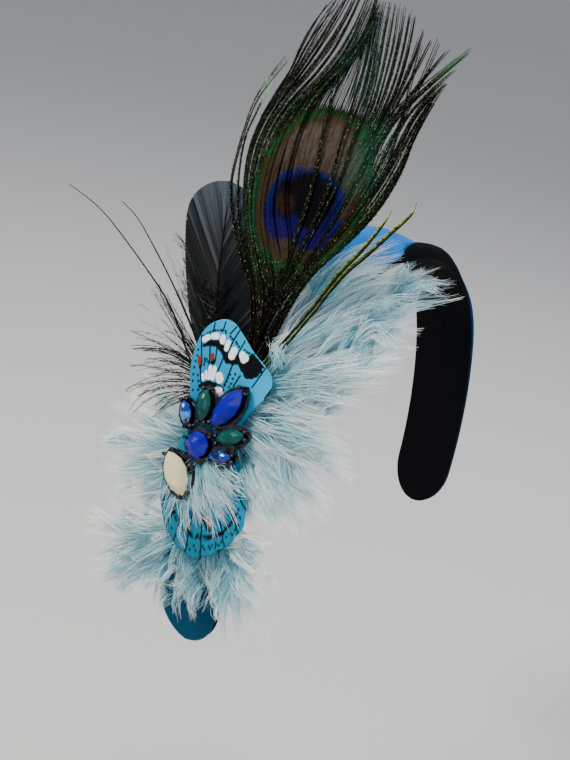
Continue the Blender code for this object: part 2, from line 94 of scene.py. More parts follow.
def ramp(value, start, over):
    """From nothing at start to one after this distance; a negative distance runs downwards."""
    return smooth_step((value - start) / over)


def unit(vectors):
    return vectors / np.maximum(np.linalg.norm(vectors, axis=-1, keepdims=True), 1e-12)


def over_band(across, along, height):
    """Points above the band's inner face; along is from the crown, positive down the +X arm."""
    across, along, height = np.broadcast_arrays(across, along, height)
    reach = np.abs(along)
    crown_length = CROWN_RADIUS * CROWN_ANGLE
    step = CROWN_RADIUS - FLANK_RADIUS
    on_crown = reach <= crown_length
    flank_angle = CROWN_ANGLE + (reach - crown_length) / FLANK_RADIUS
    angle = np.where(on_crown, reach / CROWN_RADIUS, flank_angle)
    radius = np.where(on_crown, CROWN_RADIUS, FLANK_RADIUS) + height
    centre_x = np.where(on_crown, 0.0, step * math.sin(CROWN_ANGLE))
    centre_z = np.where(on_crown, 0.0, step * math.cos(CROWN_ANGLE)) - CROWN_RADIUS
    x = centre_x + radius * np.sin(angle)
    z = centre_z + radius * np.cos(angle)
    return np.stack([np.where(along < 0.0, -x, x), across, z], -1) * MM


PAD_ANGLE = PAD_ALONG / CROWN_RADIUS
PAD_UP = np.array([-math.cos(PAD_ANGLE), 0.0, math.sin(PAD_ANGLE)])
PAD_OUT = np.array([math.sin(PAD_ANGLE), 0.0, math.cos(PAD_ANGLE)])


def lying(across, up, height):
    """Points over the pad that follow the band's curve both ways."""
    return over_band(across, PAD_ALONG - np.asarray(up), height)


def flat(across, up, height):
    """Points over the flat plane that touches the band at the pad."""
    across, up, height = np.broadcast_arrays(across, up, height)
    sideways = np.array([0.0, 1.0, 0.0])
    foot = over_band(0.0, PAD_ALONG, 0.0)
    return foot + (across[..., None] * sideways + up[..., None] * PAD_UP + height[..., None] * PAD_OUT) * MM


def rising(across, up, height):
    """Points over the pad that leave the band's curve straight above the pad."""
    across, up, height = np.broadcast_arrays(across, up, height)
    return np.where((up > 0.0)[..., None], flat(across, up, height), lying(across, up, height))


def fluffed(across, up, height):
    """Over the band's curve, and standing off the head more and more beyond the band's edges."""
    return lying(across, up, height + PLUME_RISE * np.asarray(across) ** 2)


# Colours and materials

def linear(hex_colour):
    """An sRGB hex colour as linear RGBA."""
    values = [int(hex_colour[index:index + 2], 16) / 255.0 for index in (1, 3, 5)]
    return [v / 12.92 if v <= 0.04045 else ((v + 0.055) / 1.055) ** 2.4 for v in values] + [1.0]


def tint(hex_colour):
    return np.array(linear(hex_colour)[:3])


def repeats(size):
    """Texture scale that makes one grain or cloud of a pattern about this long, in millimetres."""
    return 1.0 / (size * MM)


def new_material(name, **settings):
    """A Principled material and its nodes; the settings are named for the shader's sockets."""
    made = bpy.data.materials.new(name)
    made.use_nodes = True
    surface = made.node_tree.nodes["Principled BSDF"]
    for socket, value in settings.items():
        surface.inputs[socket.replace("_", " ")].default_value = value
    return made, made.node_tree


def add_node(tree, kind, links=None, stops=(), into=None, **settings):
    """One shader node: its links in, colour stops, settings, and the surface's socket that it goes into.

    A setting named for a socket sets that socket's value.
    """
    node = tree.nodes.new(kind)
    for name, value in settings.items():
        if name in node.bl_rna.properties:
            setattr(node, name, value)
        else:
            node.inputs[name.replace("_", " ")].default_value = value
    for index, (position, colour) in enumerate(stops):
        element = node.color_ramp.elements[index] if index < 2 else node.color_ramp.elements.new(position)
        element.position = position
        element.color = linear(colour)
    for name, source in (links or {}).items():
        tree.links.new(source, node.inputs[name])
    if into:
        tree.links.new(node.outputs[0], tree.nodes["Principled BSDF"].inputs[into])
    return node.outputs


def clouded_material(name, size, stops, **settings):
    """A material whose colour drifts between its stops in clouds of this size in millimetres."""
    made, tree = new_material(name, **settings)
    place = add_node(tree, "ShaderNodeTexCoord")["Object"]
    cloud = add_node(tree, "ShaderNodeTexNoise", {"Vector": place}, Scale=repeats(size), Detail=2.0)
    add_node(tree, "ShaderNodeValToRGB", {"Fac": cloud["Fac"]}, stops, into="Base Color")
    return made, tree, cloud


def dyed_barb_material(name, stops, **settings):
    """Keratin barbs; each keeps its own tone between the stops."""
    made, tree = new_material(name, IOR=1.5, **settings)
    tone = add_node(tree, "ShaderNodeAttribute", attribute_name="tone")
    add_node(tree, "ShaderNodeValToRGB", {"Fac": tone["Fac"]}, stops, into="Base Color")
    return made


def satin_material():
    """Polyester satin ribbon: long floats of thread give a broad soft gloss; its colour darkens towards the
    arm's ends as painted shade.
    """
    made, tree = new_material("polyester_satin", Roughness=0.38, IOR=1.5, Specular_IOR_Level=0.04)
    place = add_node(tree, "ShaderNodeTexCoord")["Object"]
    # Threads lie 0.12 mm apart, too fine to show; they are drawn 1.1 mm apart
    weave = add_node(tree, "ShaderNodeTexNoise", {"Vector": place}, Scale=repeats(1.1), Detail=3.0)
    # The dye takes unevenly over about 20 mm
    cloud = add_node(tree, "ShaderNodeTexNoise", {"Vector": place}, Scale=repeats(20.0), Detail=3.0)
    bright = add_node(tree, "ShaderNodeValToRGB", {"Fac": cloud["Fac"]}, ((0.3, "#0060b0"), (0.7, "#007ccc")))
    # Painted shade: the deeper colour, mixed in towards the arm's ends, stands for the shade there
    deep = add_node(tree, "ShaderNodeValToRGB", {"Fac": cloud["Fac"]}, ((0.3, "#003a54"), (0.7, "#004a68")))
    painted_shade_toward_end = add_node(tree, "ShaderNodeAttribute", attribute_name="painted_shade_toward_end")
    dye_and_painted_shade = {"Fac": painted_shade_toward_end["Fac"], "Color1": bright["Color"], "Color2": deep["Color"]}
    add_node(tree, "ShaderNodeMixRGB", dye_and_painted_shade, into="Base Color")
    add_node(tree, "ShaderNodeBump", {"Height": weave["Fac"]}, into="Normal", Strength=0.12, Distance=0.0001)
    return made


def lining_material():
    """Black flock blown on to glue: short upright pile drinks the light, and the surface stays matt."""
    # Flock fibres are 0.02 mm thick; their clumps show at about 0.6 mm
    made, tree, pile = clouded_material("black_flock", 0.6, ((0.3, "#030304"), (0.7, "#0b0c10")),
                                        Roughness=0.9, IOR=1.45, Specular_IOR_Level=0.08)
    add_node(tree, "ShaderNodeBump", {"Height": pile["Fac"]}, into="Normal", Strength=0.4, Distance=0.0002)
    return made


def barb_material():
    """Peacock barbs: structural colour, so each point keeps the colour that its barb shows."""
    made, tree = new_material("peacock_barb", Roughness=0.45, IOR=1.55, Metallic=0.3, Specular_IOR_Level=0.06)
    add_node(tree, "ShaderNodeAttribute", into="Base Color", attribute_name="colour")
    return made


def silk_material():
    """Stiffened silk with a printed pattern: flat inks over a fine plain weave."""
    made, tree = new_material("printed_habotai_silk", Roughness=0.55, IOR=1.5, Specular_IOR_Level=0.12)
    place = add_node(tree, "ShaderNodeTexCoord")["Object"]
    # Threads lie 0.1 mm apart, too fine to show; they are drawn 0.45 mm apart
    weave = add_node(tree, "ShaderNodeTexNoise", {"Vector": place}, Scale=repeats(0.45), Detail=2.0)
    add_node(tree, "ShaderNodeBump", {"Height": weave["Fac"]}, into="Normal", Strength=0.15, Distance=0.0001)
    add_node(tree, "ShaderNodeAttribute", into="Base Color", attribute_name="colour")
    return made


def resin_material(name, stops, roughness):
    """Cast acrylic resin, polished in the mould: clean gloss on flat facets, with faint milky clouds."""
    # Clouds in the resin are about 4 mm long
    return clouded_material(name, 4.0, stops, Roughness=roughness, IOR=1.49, Specular_IOR_Level=0.2,
                            Coat_Weight=0.1, Coat_Roughness=0.05)[0]


def sapphire_material():
    """Clear blue glass with a foiled back; its bright and dark facets are painted reflections in its colour.
    """
    made, tree = new_material("foiled_blue_glass", Roughness=0.06, IOR=1.52, Specular_IOR_Level=0.4,
                              Coat_Weight=0.4)
    place = add_node(tree, "ShaderNodeTexCoord")["Object"]
    # The back facets are about 2 mm across
    painted_facet_light = add_node(tree, "ShaderNodeTexVoronoi", {"Vector": place}, Scale=repeats(2.0))
    # Painted reflection: each facet cell takes a colour between near black and bright cyan
    add_node(tree, "ShaderNodeValToRGB", {"Fac": painted_facet_light["Color"]},
             ((0.15, "#000326"), (0.97, "#2aa4f4"), (0.55, "#01196e"), (0.85, "#0546b8")), into="Base Color")
    return made


def gunmetal_material():
    """Black nickel plate over cast zinc alloy: near black, with hard bright glints on claws and rims."""
    # Rubbed places are about 2.5 mm long
    return clouded_material("black_nickel_plate", 2.5, ((0.35, "#323237"), (0.75, "#66666d")),
                            Roughness=0.2, Metallic=1.0)[0]


# Meshes of many fine strands

class Strands:
    """Ribbons and slivers gathered into one mesh, with named values at each point."""

    def __init__(self):
        self.points = []
        self.quads = []
        self.triangles = []
        self.values = {}
        self.count = 0

    def keep(self, points, values):
        self.points.append(points)
        for name, entries in values.items():
            self.values.setdefault(name, []).append(entries)
        self.count += len(points)

    def ribbons(self, centres, roll, halves, **values):
        """centres: strand, step, xyz in metres; roll in radians; halves: half widths in millimetres."""
        strands, steps = centres.shape[:2]
        offset = rolled_sides(centres, roll) * (halves * MM)[..., None]
        points = np.stack([centres - offset, centres + offset], 2).reshape(-1, 3)
        base = (np.arange(strands)[:, None] * steps + np.arange(steps - 1)[None]) * 2 + self.count
        quads = np.stack([base, base + 1, base + 3, base + 2], -1).reshape(-1, 4)
        doubled = {name: np.repeat(np.broadcast_to(v, (strands, steps) + v.shape[2:]), 2, axis=1)
                   .reshape((-1,) + v.shape[2:]) for name, v in values.items()}
        self.quads.append(quads)
        self.keep(points, doubled)

    def slivers(self, roots, runs, widths, **values):
        """A thin triangle from each root: its run, and its width at the root, in metres."""
        points = np.stack([roots - widths / 2.0, roots + widths / 2.0, roots + runs], 1).reshape(-1, 3)
        first = np.arange(len(roots)) * 3 + self.count
        self.triangles.append(np.stack([first, first + 1, first + 2], -1))
        self.keep(points, {name: np.repeat(v, 3, axis=0) for name, v in values.items()})

    def to_object(self, name, material):
        points = np.concatenate(self.points)
        quads = np.concatenate(self.quads) if self.quads else np.zeros((0, 4), int)
        triangles = np.concatenate(self.triangles) if self.triangles else NO_TRIANGLES
        return mesh_object(name, points, quads, triangles, material,
                           {key: np.concatenate(parts) for key, parts in self.values.items()})


def grid_quads(rows, columns):
    """Quads over points that lie in rows."""
    first = (np.arange(rows - 1)[:, None] * columns + np.arange(columns - 1)[None]).reshape(-1)
    return np.stack([first, first + 1, first + columns + 1, first + columns], -1)


NO_TRIANGLES = np.zeros((0, 3), int)


def mesh_object(name, points, quads, triangles, material, values):
    """A mesh that rides root; values hold a number or a colour for each point."""
    mesh = bpy.data.meshes.new(name)
    mesh.vertices.add(len(points))
    mesh.vertices.foreach_set("co", points.astype(np.float32).ravel())
    corners = np.concatenate([quads.ravel(), triangles.ravel()]).astype(np.int32)
    starts = np.concatenate([np.arange(len(quads)) * 4,
                             len(quads) * 4 + np.arange(len(triangles)) * 3]).astype(np.int32)
    mesh.loops.add(len(corners))
    mesh.loops.foreach_set("vertex_index", corners)
    mesh.polygons.add(len(starts))
    mesh.polygons.foreach_set("loop_start", starts)
    mesh.update(calc_edges=True)
    mesh.shade_smooth()
    for key, entries in values.items():
        if entries.ndim == 2:
            colours = np.concatenate([entries, np.ones((len(entries), 1))], 1).astype(np.float32)
            layer = mesh.color_attributes.new(key, "FLOAT_COLOR", "POINT")
            layer.data.foreach_set("color", colours.ravel())
        else:
            layer = mesh.attributes.new(key, "FLOAT", "POINT")
            layer.data.foreach_set("value", entries.astype(np.float32))
    mesh.materials.append(material)
    obj = bpy.data.objects.new(name, mesh)
    bpy.context.scene.collection.objects.link(obj)
    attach(obj, "root")
    return obj


def rolled_sides(centres, roll):
    """Side vectors across each strand, turned about it by a roll in radians."""
    run = unit(np.gradient(centres, axis=1))
    side = unit(np.cross(np.broadcast_to(PAD_OUT, run.shape), run))
    lift = np.cross(run, side)
    return side * np.cos(roll)[..., None] + lift * np.sin(roll)[..., None]


def bezier(start, middle, end, share):
    """Quadratic curves: control points (strand, 2), shares (strand, step)."""
    share = share[..., None]
    rest = 1.0 - share
    return rest ** 2 * start[:, None] + 2.0 * rest * share * middle[:, None] + share ** 2 * end[:, None]


def even_shares(count, steps):
    """The same even steps from foot to tip for each strand."""
    return np.broadcast_to(np.linspace(0.0, 1.0, steps), (count, steps))


def places(share, steps):
    """Where shares of each line lie: the line's row, the step below, and the part of a step beyond it."""
    place = share * (steps - 1)
    low = np.minimum(place.astype(int), steps - 2)
    return np.arange(len(share))[:, None], low, (place - low)[..., None]


def at_share(table, share):
    """Rows of a table read at fractional places."""
    table = np.asarray(table, float)
    _, low, part = places(np.clip(share, 0.0, 1.0), len(table))
    return blend(table[low], table[low + 1], part)


def roots_on(centres, share):
    """Points at these shares of each strand, and the way it runs there."""
    rows, low, part = places(share, centres.shape[1])
    start, end = centres[rows, low], centres[rows, low + 1]
    return blend(start, end, part), unit(end - start)


def hairs_on(strands, centres, rng, spacing, length, width, spread, tone, first=0.05, last=0.95):
    """Short hairs that stand off both sides of each strand, all round it."""
    reach = np.linalg.norm(np.diff(centres, axis=1), axis=2).sum(1) / MM
    per_strand = max(2, int(reach.mean() * (last - first) / spacing))
    share = first + (last - first) * rng.random((len(centres), per_strand))
    roots, run = roots_on(centres, share)
    random_way = rng.normal(size=run.shape)
    across = unit(np.cross(run, random_way))
    lean = np.radians(rng.uniform(*spread, size=share.shape))[..., None]
    way = run * np.cos(lean) + across * np.sin(lean)
    size = length(share) * rng.uniform(0.6, 1.25, share.shape) * MM
    widths = unit(np.cross(way, random_way)) * (width * MM)
    tones = np.clip(tone(share) + rng.normal(0.0, 0.08, share.shape), 0.0, 1.0)
    strands.slivers(roots.reshape(-1, 3), (way * size[..., None]).reshape(-1, 3),
                    widths.reshape(-1, 3), tone=tones.ravel())


# Pale marabou plumes, on the same forks and lock tips as the solids
#   name, layer, fork (across, up), width there, puff, locks (across, up, curl)
MARABOU = (
    ("marabou_crown", FIRST_PLUMES, (6.0, 16.0), 10.0, 9.0, (
        (1.0, 48.0, 0.08), (2.0, 60.0, 0.06), (4.0, 70.0, 0.04), (12.0, 77.0, 0.02),
        (21.0, 79.0, -0.02), (31.0, 78.0, -0.06), (39.0, 68.0, -0.08), (42.0, 56.0, -0.1))),
    ("marabou_curl", THIRD_PLUMES, (9.0, 13.0), 8.0, 8.0, (
        (29.0, 47.0, -0.1), (40.0, 45.0, -0.1), (49.0, 39.0, -0.12), (49.0, 31.0, -0.08),
        (46.0, 23.0, 0.0), (33.0, 21.0, 0.0))),
    ("marabou_front", SECOND_PLUMES, (7.0, 1.0), 10.0, 7.0, (
        (44.0, 18.0, 0.1), (49.0, 9.0, 0.06), (53.0, 3.0, 0.03), (51.0, -7.0, -0.03),
        (45.0, -16.0, -0.06), (36.0, -23.0, -0.08), (24.0, -24.0, -0.1))),
    ("marabou_back", FIRST_PLUMES, (-8.0, -11.0), 11.0, 7.0, (
        (-24.0, -36.0, 0.05), (-35.0, -38.0, 0.03), (-40.0, -29.0, 0.0), (-46.0, -21.0, 0.0),
        (-43.0, -9.0, -0.04), (-33.0, 0.0, -0.06))),
    ("marabou_low_back", SECOND_PLUMES, (-9.0, -41.0), 8.0, 6.0, (
        (-28.0, -71.0, 0.06), (-34.0, -69.0, 0.04), (-41.0, -63.0, 0.0), (-43.0, -52.0, -0.02),
        (-35.0, -43.0, -0.05))),
    ("marabou_low", FIRST_PLUMES, (-1.0, -38.0), 12.0, 6.0, (
        (14.0, -60.0, 0.06), (8.0, -68.0, 0.04), (0.0, -74.0, 0.02), (-9.0, -76.0, -0.02),
        (-20.0, -75.0, -0.04), (-30.0, -77.0, -0.06))),
    ("marabou_low_front", SECOND_PLUMES, (9.0, -36.0), 8.0, 6.0, (
        (32.0, -29.0, 0.05), (38.0, -36.0, 0.03), (34.0, -47.0, 0.0), (33.0, -59.0, -0.03),
        (21.0, -58.0, -0.06))),
    ("marabou_over_wing", FRONT_PLUME_LAYER, (0.0, -14.0), 12.0, 5.0, (
        (24.0, -12.0, 0.12), (25.0, -19.0, 0.1), (22.0, -28.0, 0.06), (16.0, -35.0, 0.03),
        (7.0, -41.0, 0.0), (-5.0, -42.0, -0.04), (-12.0, -36.0, -0.1))),
)
HAIR_STEPS = 12
# Each plume's wisps along its locks, hairs in a wisp, share of a lock's length that a wisp may reach, and
# paleness; the front ones are thin and short enough to show what lies under them
PLUME_WISPS = {
    "marabou_over_wing": (36, 6, 0.82, 0.0), "marabou_low": (24, 15, 0.82, 0.0),
    "marabou_low_back": (46, 17, 1.0, 0.13), "marabou_low_front": (46, 16, 0.95, 0.0),
    "marabou_back": (70, 17, 1.0, 0.16), "marabou_front": (80, 17, 1.0, 0.0),
    "marabou_curl": (76, 17, 1.0, 0.0), "marabou_crown": (82, 17, 0.92, 0.0)}
# Rise of the few stray wisps that cross over the peacock's stem
STRAY_RISE = 8.0
# Hearts of down where a plume's own tip lies:
#   place (across, up), heading and spread in degrees, wisps, reach, depth of its blue, and rise if any
DOWN_HEARTS = {
    "marabou_crown": (((32.0, 56.0), 55.0, 70.0, 20, (8.0, 19.0), -0.4),
                      ((20.0, 46.0), 60.0, 60.0, 16, (12.0, 24.0), -0.2)),
    "marabou_curl": (((32.0, 43.0), -5.0, 120.0, 36, (9.0, 19.0), -0.9),
                     ((27.0, 27.0), -40.0, 110.0, 28, (8.0, 18.0), -0.9),
                     ((13.0, 44.0), 62.0, 14.0, 12, (16.0, 30.0), 0.6, STRAY_RISE),
                     ((14.0, 22.0), 106.0, 34.0, 6, (8.0, 16.0), 0.6, STRAY_RISE)),
    "marabou_front": (((17.0, 5.0), -8.0, 42.0, 40, (16.0, 36.0), -0.1),
                      ((23.0, -1.0), -42.0, 30.0, 22, (16.0, 30.0), 0.0)),
    "marabou_back": (((-14.0, -10.0), 176.0, 32.0, 24, (12.0, 28.0), 0.1),
                     ((-14.0, -21.0), 190.0, 34.0, 20, (12.0, 25.0), 0.1)),
    "marabou_low_back": (((-16.0, -47.0), 186.0, 44.0, 26, (10.0, 25.0), 0.1),),
    "marabou_low": (((2.0, -50.0), 262.0, 56.0, 14, (6.0, 14.0), 0.0),
                    ((-8.0, -52.0), 236.0, 40.0, 16, (8.0, 19.0), 0.0)),
    "marabou_low_front": (((18.0, -40.0), -52.0, 66.0, 28, (12.0, 29.0), 0.1),),
    "marabou_over_wing": (((-1.0, -15.0), -85.0, 66.0, 40, (8.0, 19.0), 0.0),
                          ((4.0, -13.0), -32.0, 38.0, 40, (10.0, 22.0), 0.0)),
}


def lock_lines(fork, width, locks):
    """The quadratic curve of each lock: start, middle and tip (across, up)."""
    table = np.array(locks, float)
    tips = table[:, :2]
    side = unit(tips[-1] - tips[0])
    place = np.linspace(-0.5, 0.5, len(locks))[:, None]
    starts = np.array(fork) + side * width * place
    run = tips - starts
    middles = starts + run / 2.0 + turned(run) * table[:, 2:3]
    return starts, middles, tips


def turned(vectors):
    """Vectors in the plane, turned a quarter to the left."""
    return np.stack([-vectors[..., 1], vectors[..., 0]], -1)


def wisps_along_locks(rng, wisps, longest, fork, width, locks):
    """Wisps that leave each lock sideways: foot, heading, turn, reach, depth of blue and rise of each."""
    starts, middles, tips = lock_lines(fork, width, locks)
    lock = rng.integers(0, len(locks), wisps)
    origin = rng.beta(1.3, 1.5, wisps) * 0.92 - 0.12
    place = np.clip(origin, 0.0, 1.0)[:, None]
    foot = bezier(starts[lock], middles[lock], tips[lock], place)[:, 0]
    way = unit(2.0 * (1.0 - place) * (middles - starts)[lock] + 2.0 * place * (tips - middles)[lock])
    foot = foot + way * np.minimum(origin, 0.0)[:, None] * 30.0
    angle = np.radians(rng.gamma(2.6, 4.6, wisps) + 1.0) * rng.choice((-1.0, 1.0), wisps)
    lengths = np.linalg.norm(tips - starts, axis=1)[lock]
    left = lengths * (1.04 - np.maximum(origin, 0.0))
    reach = np.clip(left * rng.uniform(0.4, 1.0, wisps), 7.0, 44.0) * longest
    turn = -angle * rng.normal(0.9, 0.45, wisps)
    heading = np.arctan2(way[:, 1], way[:, 0]) + angle
    return foot, heading, turn, reach, np.clip(origin, 0.0, 1.0), np.zeros(wisps)


def wisps_from_heart(rng, place, heading, spread, wisps, reach, depth, rise=0.0):
    """Wisps that fan out of one spot; a lower depth is a stronger blue, a risen one crosses the peacock."""
    foot = np.array(place) + rng.normal(0.0, 2.2, (wisps, 2))
    fan = rng.uniform(-1.0, 1.0, wisps)
    start = np.radians(heading + spread * fan)
    turn = -0.25 * np.radians(spread) * fan + rng.normal(0.0, 0.35, wisps)
    return foot, start, turn, rng.uniform(*reach, wisps), np.full(wisps, depth), np.full(wisps, rise)


def hairs_of_wisps(rng, foot, heading, turn, reach, hairs, steps):
    """Centre lines of the hairs of each wisp: apart at its foot and drawn together towards its point."""
    count = len(foot) * hairs
    first = foot + np.stack([np.cos(heading), np.sin(heading)], 1) * (0.5 * reach)[:, None]
    last = first + np.stack([np.cos(heading + turn), np.sin(heading + turn)], 1) * (0.5 * reach)[:, None]
    foot, first, last = (np.repeat(points, hairs, axis=0) for points in (foot, first, last))
    share = even_shares(count, steps)
    lines = bezier(foot, first, last, share * (1.0 - rng.exponential(0.14, count).clip(0.0, 0.5))[:, None])
    across = turned(unit(last - foot))[:, None]
    apart = rng.normal(0.0, 1.5, count)[:, None] * blend(1.0, 0.2, smooth_step(share * 1.1))
    splay = rng.normal(0.0, 0.85, count)[:, None] * share ** 2.5
    waves = rng.uniform(0.6, 1.7, count)[:, None]
    phase = rng.uniform(0.0, 2.0 * math.pi, count)[:, None]
    sway = rng.uniform(0.05, 0.35, count)[:, None] * np.sin(share * waves * math.pi + phase) * share
    return lines + across * (apart + splay + sway)[..., None], share


def make_marabou_plume(index, row, material):
    name, layer, fork, width, puff, locks = row
    rng = np.random.default_rng(100 + index)
    along_locks, hairs, longest, pale = PLUME_WISPS[name]
    parts = [wisps_along_locks(rng, along_locks, longest, fork, width, locks)]
    parts += [wisps_from_heart(rng, *heart) for heart in DOWN_HEARTS[name]]
    foot, heading, turn, reach, origin, rise = (np.concatenate(columns) for columns in zip(*parts))
    wisps = len(foot)
    lines, share = hairs_of_wisps(rng, foot, heading, turn, reach, hairs, HAIR_STEPS)
    wisp = np.repeat(np.arange(wisps), hairs)
    count = len(lines)
    lift = np.clip(rng.random(wisps)[wisp] + rng.normal(0.0, 0.08, count), 0.0, 1.0)[:, None] ** 1.3
    arch = np.sin(np.minimum(share + 0.15, 1.0) * 0.72 * math.pi)
    height = layer + 0.4 + rise[wisp][:, None] + puff * lift * arch
    centres = fluffed(lines[..., 0], lines[..., 1], height)
    roll = rng.uniform(0.0, math.pi, (count, 1))
    tone = 0.05 + pale + (0.2 * origin + rng.normal(0.0, 0.16, wisps))[wisp][:, None] + 0.85 * share
    tone = np.clip(tone + rng.normal(0.0, 0.07, (count, 1)), 0.0, 1.0)
    half = blend(0.09, 0.02, share ** 2) * rng.uniform(0.6, 1.4, (count, 1))
    strands = Strands()
    strands.ribbons(centres, roll, half, tone=tone)
    hairs_on(strands, centres[::2], rng, 2.2, lambda s: 3.6 * (1.0 - 0.5 * s), 0.07, (8.0, 30.0),
             lambda s: 0.25 + 0.7 * s, 0.0, 0.75)
    plume = strands.to_object(name + "_down", material)
    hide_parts(name)


# The black fluff's locks (across, up, curl)
BLACK_FLUFF_LOCKS = (
    (-21.0, -1.0, -0.3), (-29.0, -7.0, -0.42), (-34.0, -2.0, -0.36), (-39.0, 6.0, -0.32),
    (-46.0, 12.0, -0.25), (-46.0, 24.0, -0.12), (-43.0, 34.0, 0.05), (-44.0, 46.0, 0.02))
FLUFF_ROOT = (4.0, 0.0)
FLUFF_FORK = (-10.0, 10.0)
FLUFF_WIDTH = 9.0
FLUFF_GATHERING = 0.75
# Low fluff that lies further back than this leans off the head
LEAN_FROM = -14.0
LEAN_BELOW = 12.0
LEAN_FADE = 12.0
LEAN_RATE = 0.28


def fluff_lines(rng, count):
    """Centre lines (across, up) of barbs that fan from the fluff's fork and gather at its lock tips."""
    each = (count, 1)
    locks = np.array(BLACK_FLUFF_LOCKS)
    place = rng.random(count)
    nearest = np.round(place * (len(locks) - 1)) / (len(locks) - 1)
    tips = at_share(locks, blend(place, nearest, FLUFF_GATHERING * rng.uniform(0.5, 1.0, count)))
    aside = unit(locks[-1, :2] - locks[0, :2]) * (FLUFF_WIDTH * (place - 0.5))[:, None]
    pull = rng.uniform(0.0, 0.55, each)
    starts = blend(np.array(FLUFF_FORK) + aside, np.array(FLUFF_ROOT) + 0.5 * aside, pull)
    run = (tips[:, :2] - starts) * rng.uniform(0.6, 1.05, each) + rng.normal(0.0, 1.3, (count, 2))
    curl = tips[:, 2:] + rng.normal(0.0, 0.05, each)
    share = even_shares(count, HAIR_STEPS)
    lines = bezier(starts, starts + run / 2.0 + turned(run) * curl, starts + run, share)
    waves = rng.uniform(1.0, 2.4, each)
    phase = rng.uniform(0.0, 2.0 * math.pi, each)
    sway = rng.uniform(0.2, 1.1, each) * np.sin(share * waves * math.pi + phase) * share
    return lines + unit(turned(run))[:, None] * sway[..., None], share


def make_black_fluff(material):
    rng = np.random.default_rng(7)
    count = 76
    strands = Strands()
    lines, share = fluff_lines(rng, count)
    across = lines[..., 0]
    up = lines[..., 1]
    swing = np.maximum(LEAN_FROM - across, 0.0) * ramp(up, LEAN_BELOW, -LEAN_FADE)
    height = FLUFF_LAYER + 0.4 + LEAN_RATE * swing + 2.0 * rng.random(count)[:, None] * share ** 2
    centres = rising(across, up, height)
    roll = rng.uniform(0.0, math.pi, (count, 1))
    strands.ribbons(centres, roll, blend(0.2, 0.08, share), tone=rng.random((count, 1)))
    hairs_on(strands, centres, rng, 0.7, lambda s: 4.2 * (1.0 - 0.5 * s), 0.12, (10.0, 32.0),
             lambda s: 0.3 + 0.2 * s, 0.15, 0.97)
    fluff = strands.to_object("black_fluff_down", material)
    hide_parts("black_fluff")


# Two stripped quills (across, up, height)
QUILLS = (
    ("black_quill_long", (
        (-7.0, 8.0, 10.1), (-18.5, 15.5, 10.1), (-26.5, 23.5, 10.4), (-35.0, 31.0, 12.0),
        (-52.0, 42.0, 16.0), (-66.0, 50.0, 20.0), (-78.5, 54.0, 24.0))),
    ("black_quill_short", (
        (-8.0, 13.0, 10.1), (-16.0, 19.5, 10.1), (-23.0, 26.0, 10.4), (-34.0, 36.0, 12.0),
        (-44.0, 45.0, 15.0), (-51.5, 51.5, 18.0), (-58.5, 55.0, 20.0))),
)


def smooth_route(points, count):
    """Points read from a smooth curve through the route's own points."""
    points = np.array(points, float)
    spans = len(points) - 1
    place = np.linspace(0.0, spans, count)
    span = np.minimum(place.astype(int), spans - 1)
    share = (place - span)[:, None]
    before = points[np.maximum(span - 1, 0)]
    start = points[span]
    end = points[span + 1]
    after = points[np.minimum(span + 2, spans)]
    return 0.5 * (2.0 * start + (end - before) * share
                  + (2.0 * before - 5.0 * start + 4.0 * end - after) * share ** 2
                  + (3.0 * start - before - 3.0 * end + after) * share ** 3)


def tube(strands, line, radii, sides, **values):
    """A closed tapering tube along one line of points in metres."""
    run = unit(np.gradient(line, axis=0))
    side = unit(np.cross(run, PAD_OUT))
    other = np.cross(run, side)
    turn = np.linspace(0.0, 2.0 * math.pi, sides, endpoint=False)
    ring = side[:, None] * np.cos(turn)[None, :, None] + other[:, None] * np.sin(turn)[None, :, None]
    points = line[:, None] + ring * (radii * MM)[:, None, None]
    steps = len(line)
    base = np.arange(steps - 1)[:, None] * sides + strands.count
    here = np.arange(sides)[None]
    after = (here + 1) % sides
    quads = np.stack([base + here, base + after, base + sides + after, base + sides + here], -1)
    strands.quads.append(quads.reshape(-1, 4))
    spread = {}
    for key, entries in values.items():
        whole = entries if entries.ndim == 3 else np.repeat(entries[:, None], sides, axis=1)
        spread[key] = whole.reshape((-1,) + whole.shape[2:])
    strands.keep(points.reshape(-1, 3), spread)


def make_quills(material):
    for index, (name, points) in enumerate(QUILLS):
        rng = np.random.default_rng(40 + index)
        strands = Strands()
        route = smooth_route(points, 60)
        line = flat(route[:, 0], route[:, 1], route[:, 2])
        share = np.linspace(0.0, 1.0, len(line))
        tube(strands, line, blend(0.45, 0.12, share), 6, tone=0.2 + 0.3 * share)
        hairs_on(strands, line[None], rng, 1.1, lambda s: 5.0 * (1.0 - s), 0.12, (10.0, 25.0),
                 lambda s: 0.2, 0.05, 0.97)
        quill = strands.to_object(name + "_stem", material)
        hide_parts(name)


# The broad black feather: stations up its quill and along both edges (across, up)
BLACK_SPINE = ((-8.0, 12.0), (-13.0, 24.0), (-17.5, 36.0), (-21.3, 48.0), (-24.6, 60.0), (-27.8, 71.4))
BLACK_BACK_EDGE = ((-12.0, 15.0), (-22.0, 26.0), (-29.6, 38.0), (-35.6, 50.0), (-39.2, 60.0),
                   (-38.4, 66.4), (-33.8, 71.2), (-27.8, 73.2))
BLACK_FRONT_EDGE = ((-4.0, 14.0), (0.2, 28.0), (-1.6, 40.0), (-5.8, 52.0), (-11.6, 62.0),
                    (-16.8, 69.0), (-21.6, 72.4), (-27.8, 73.2))


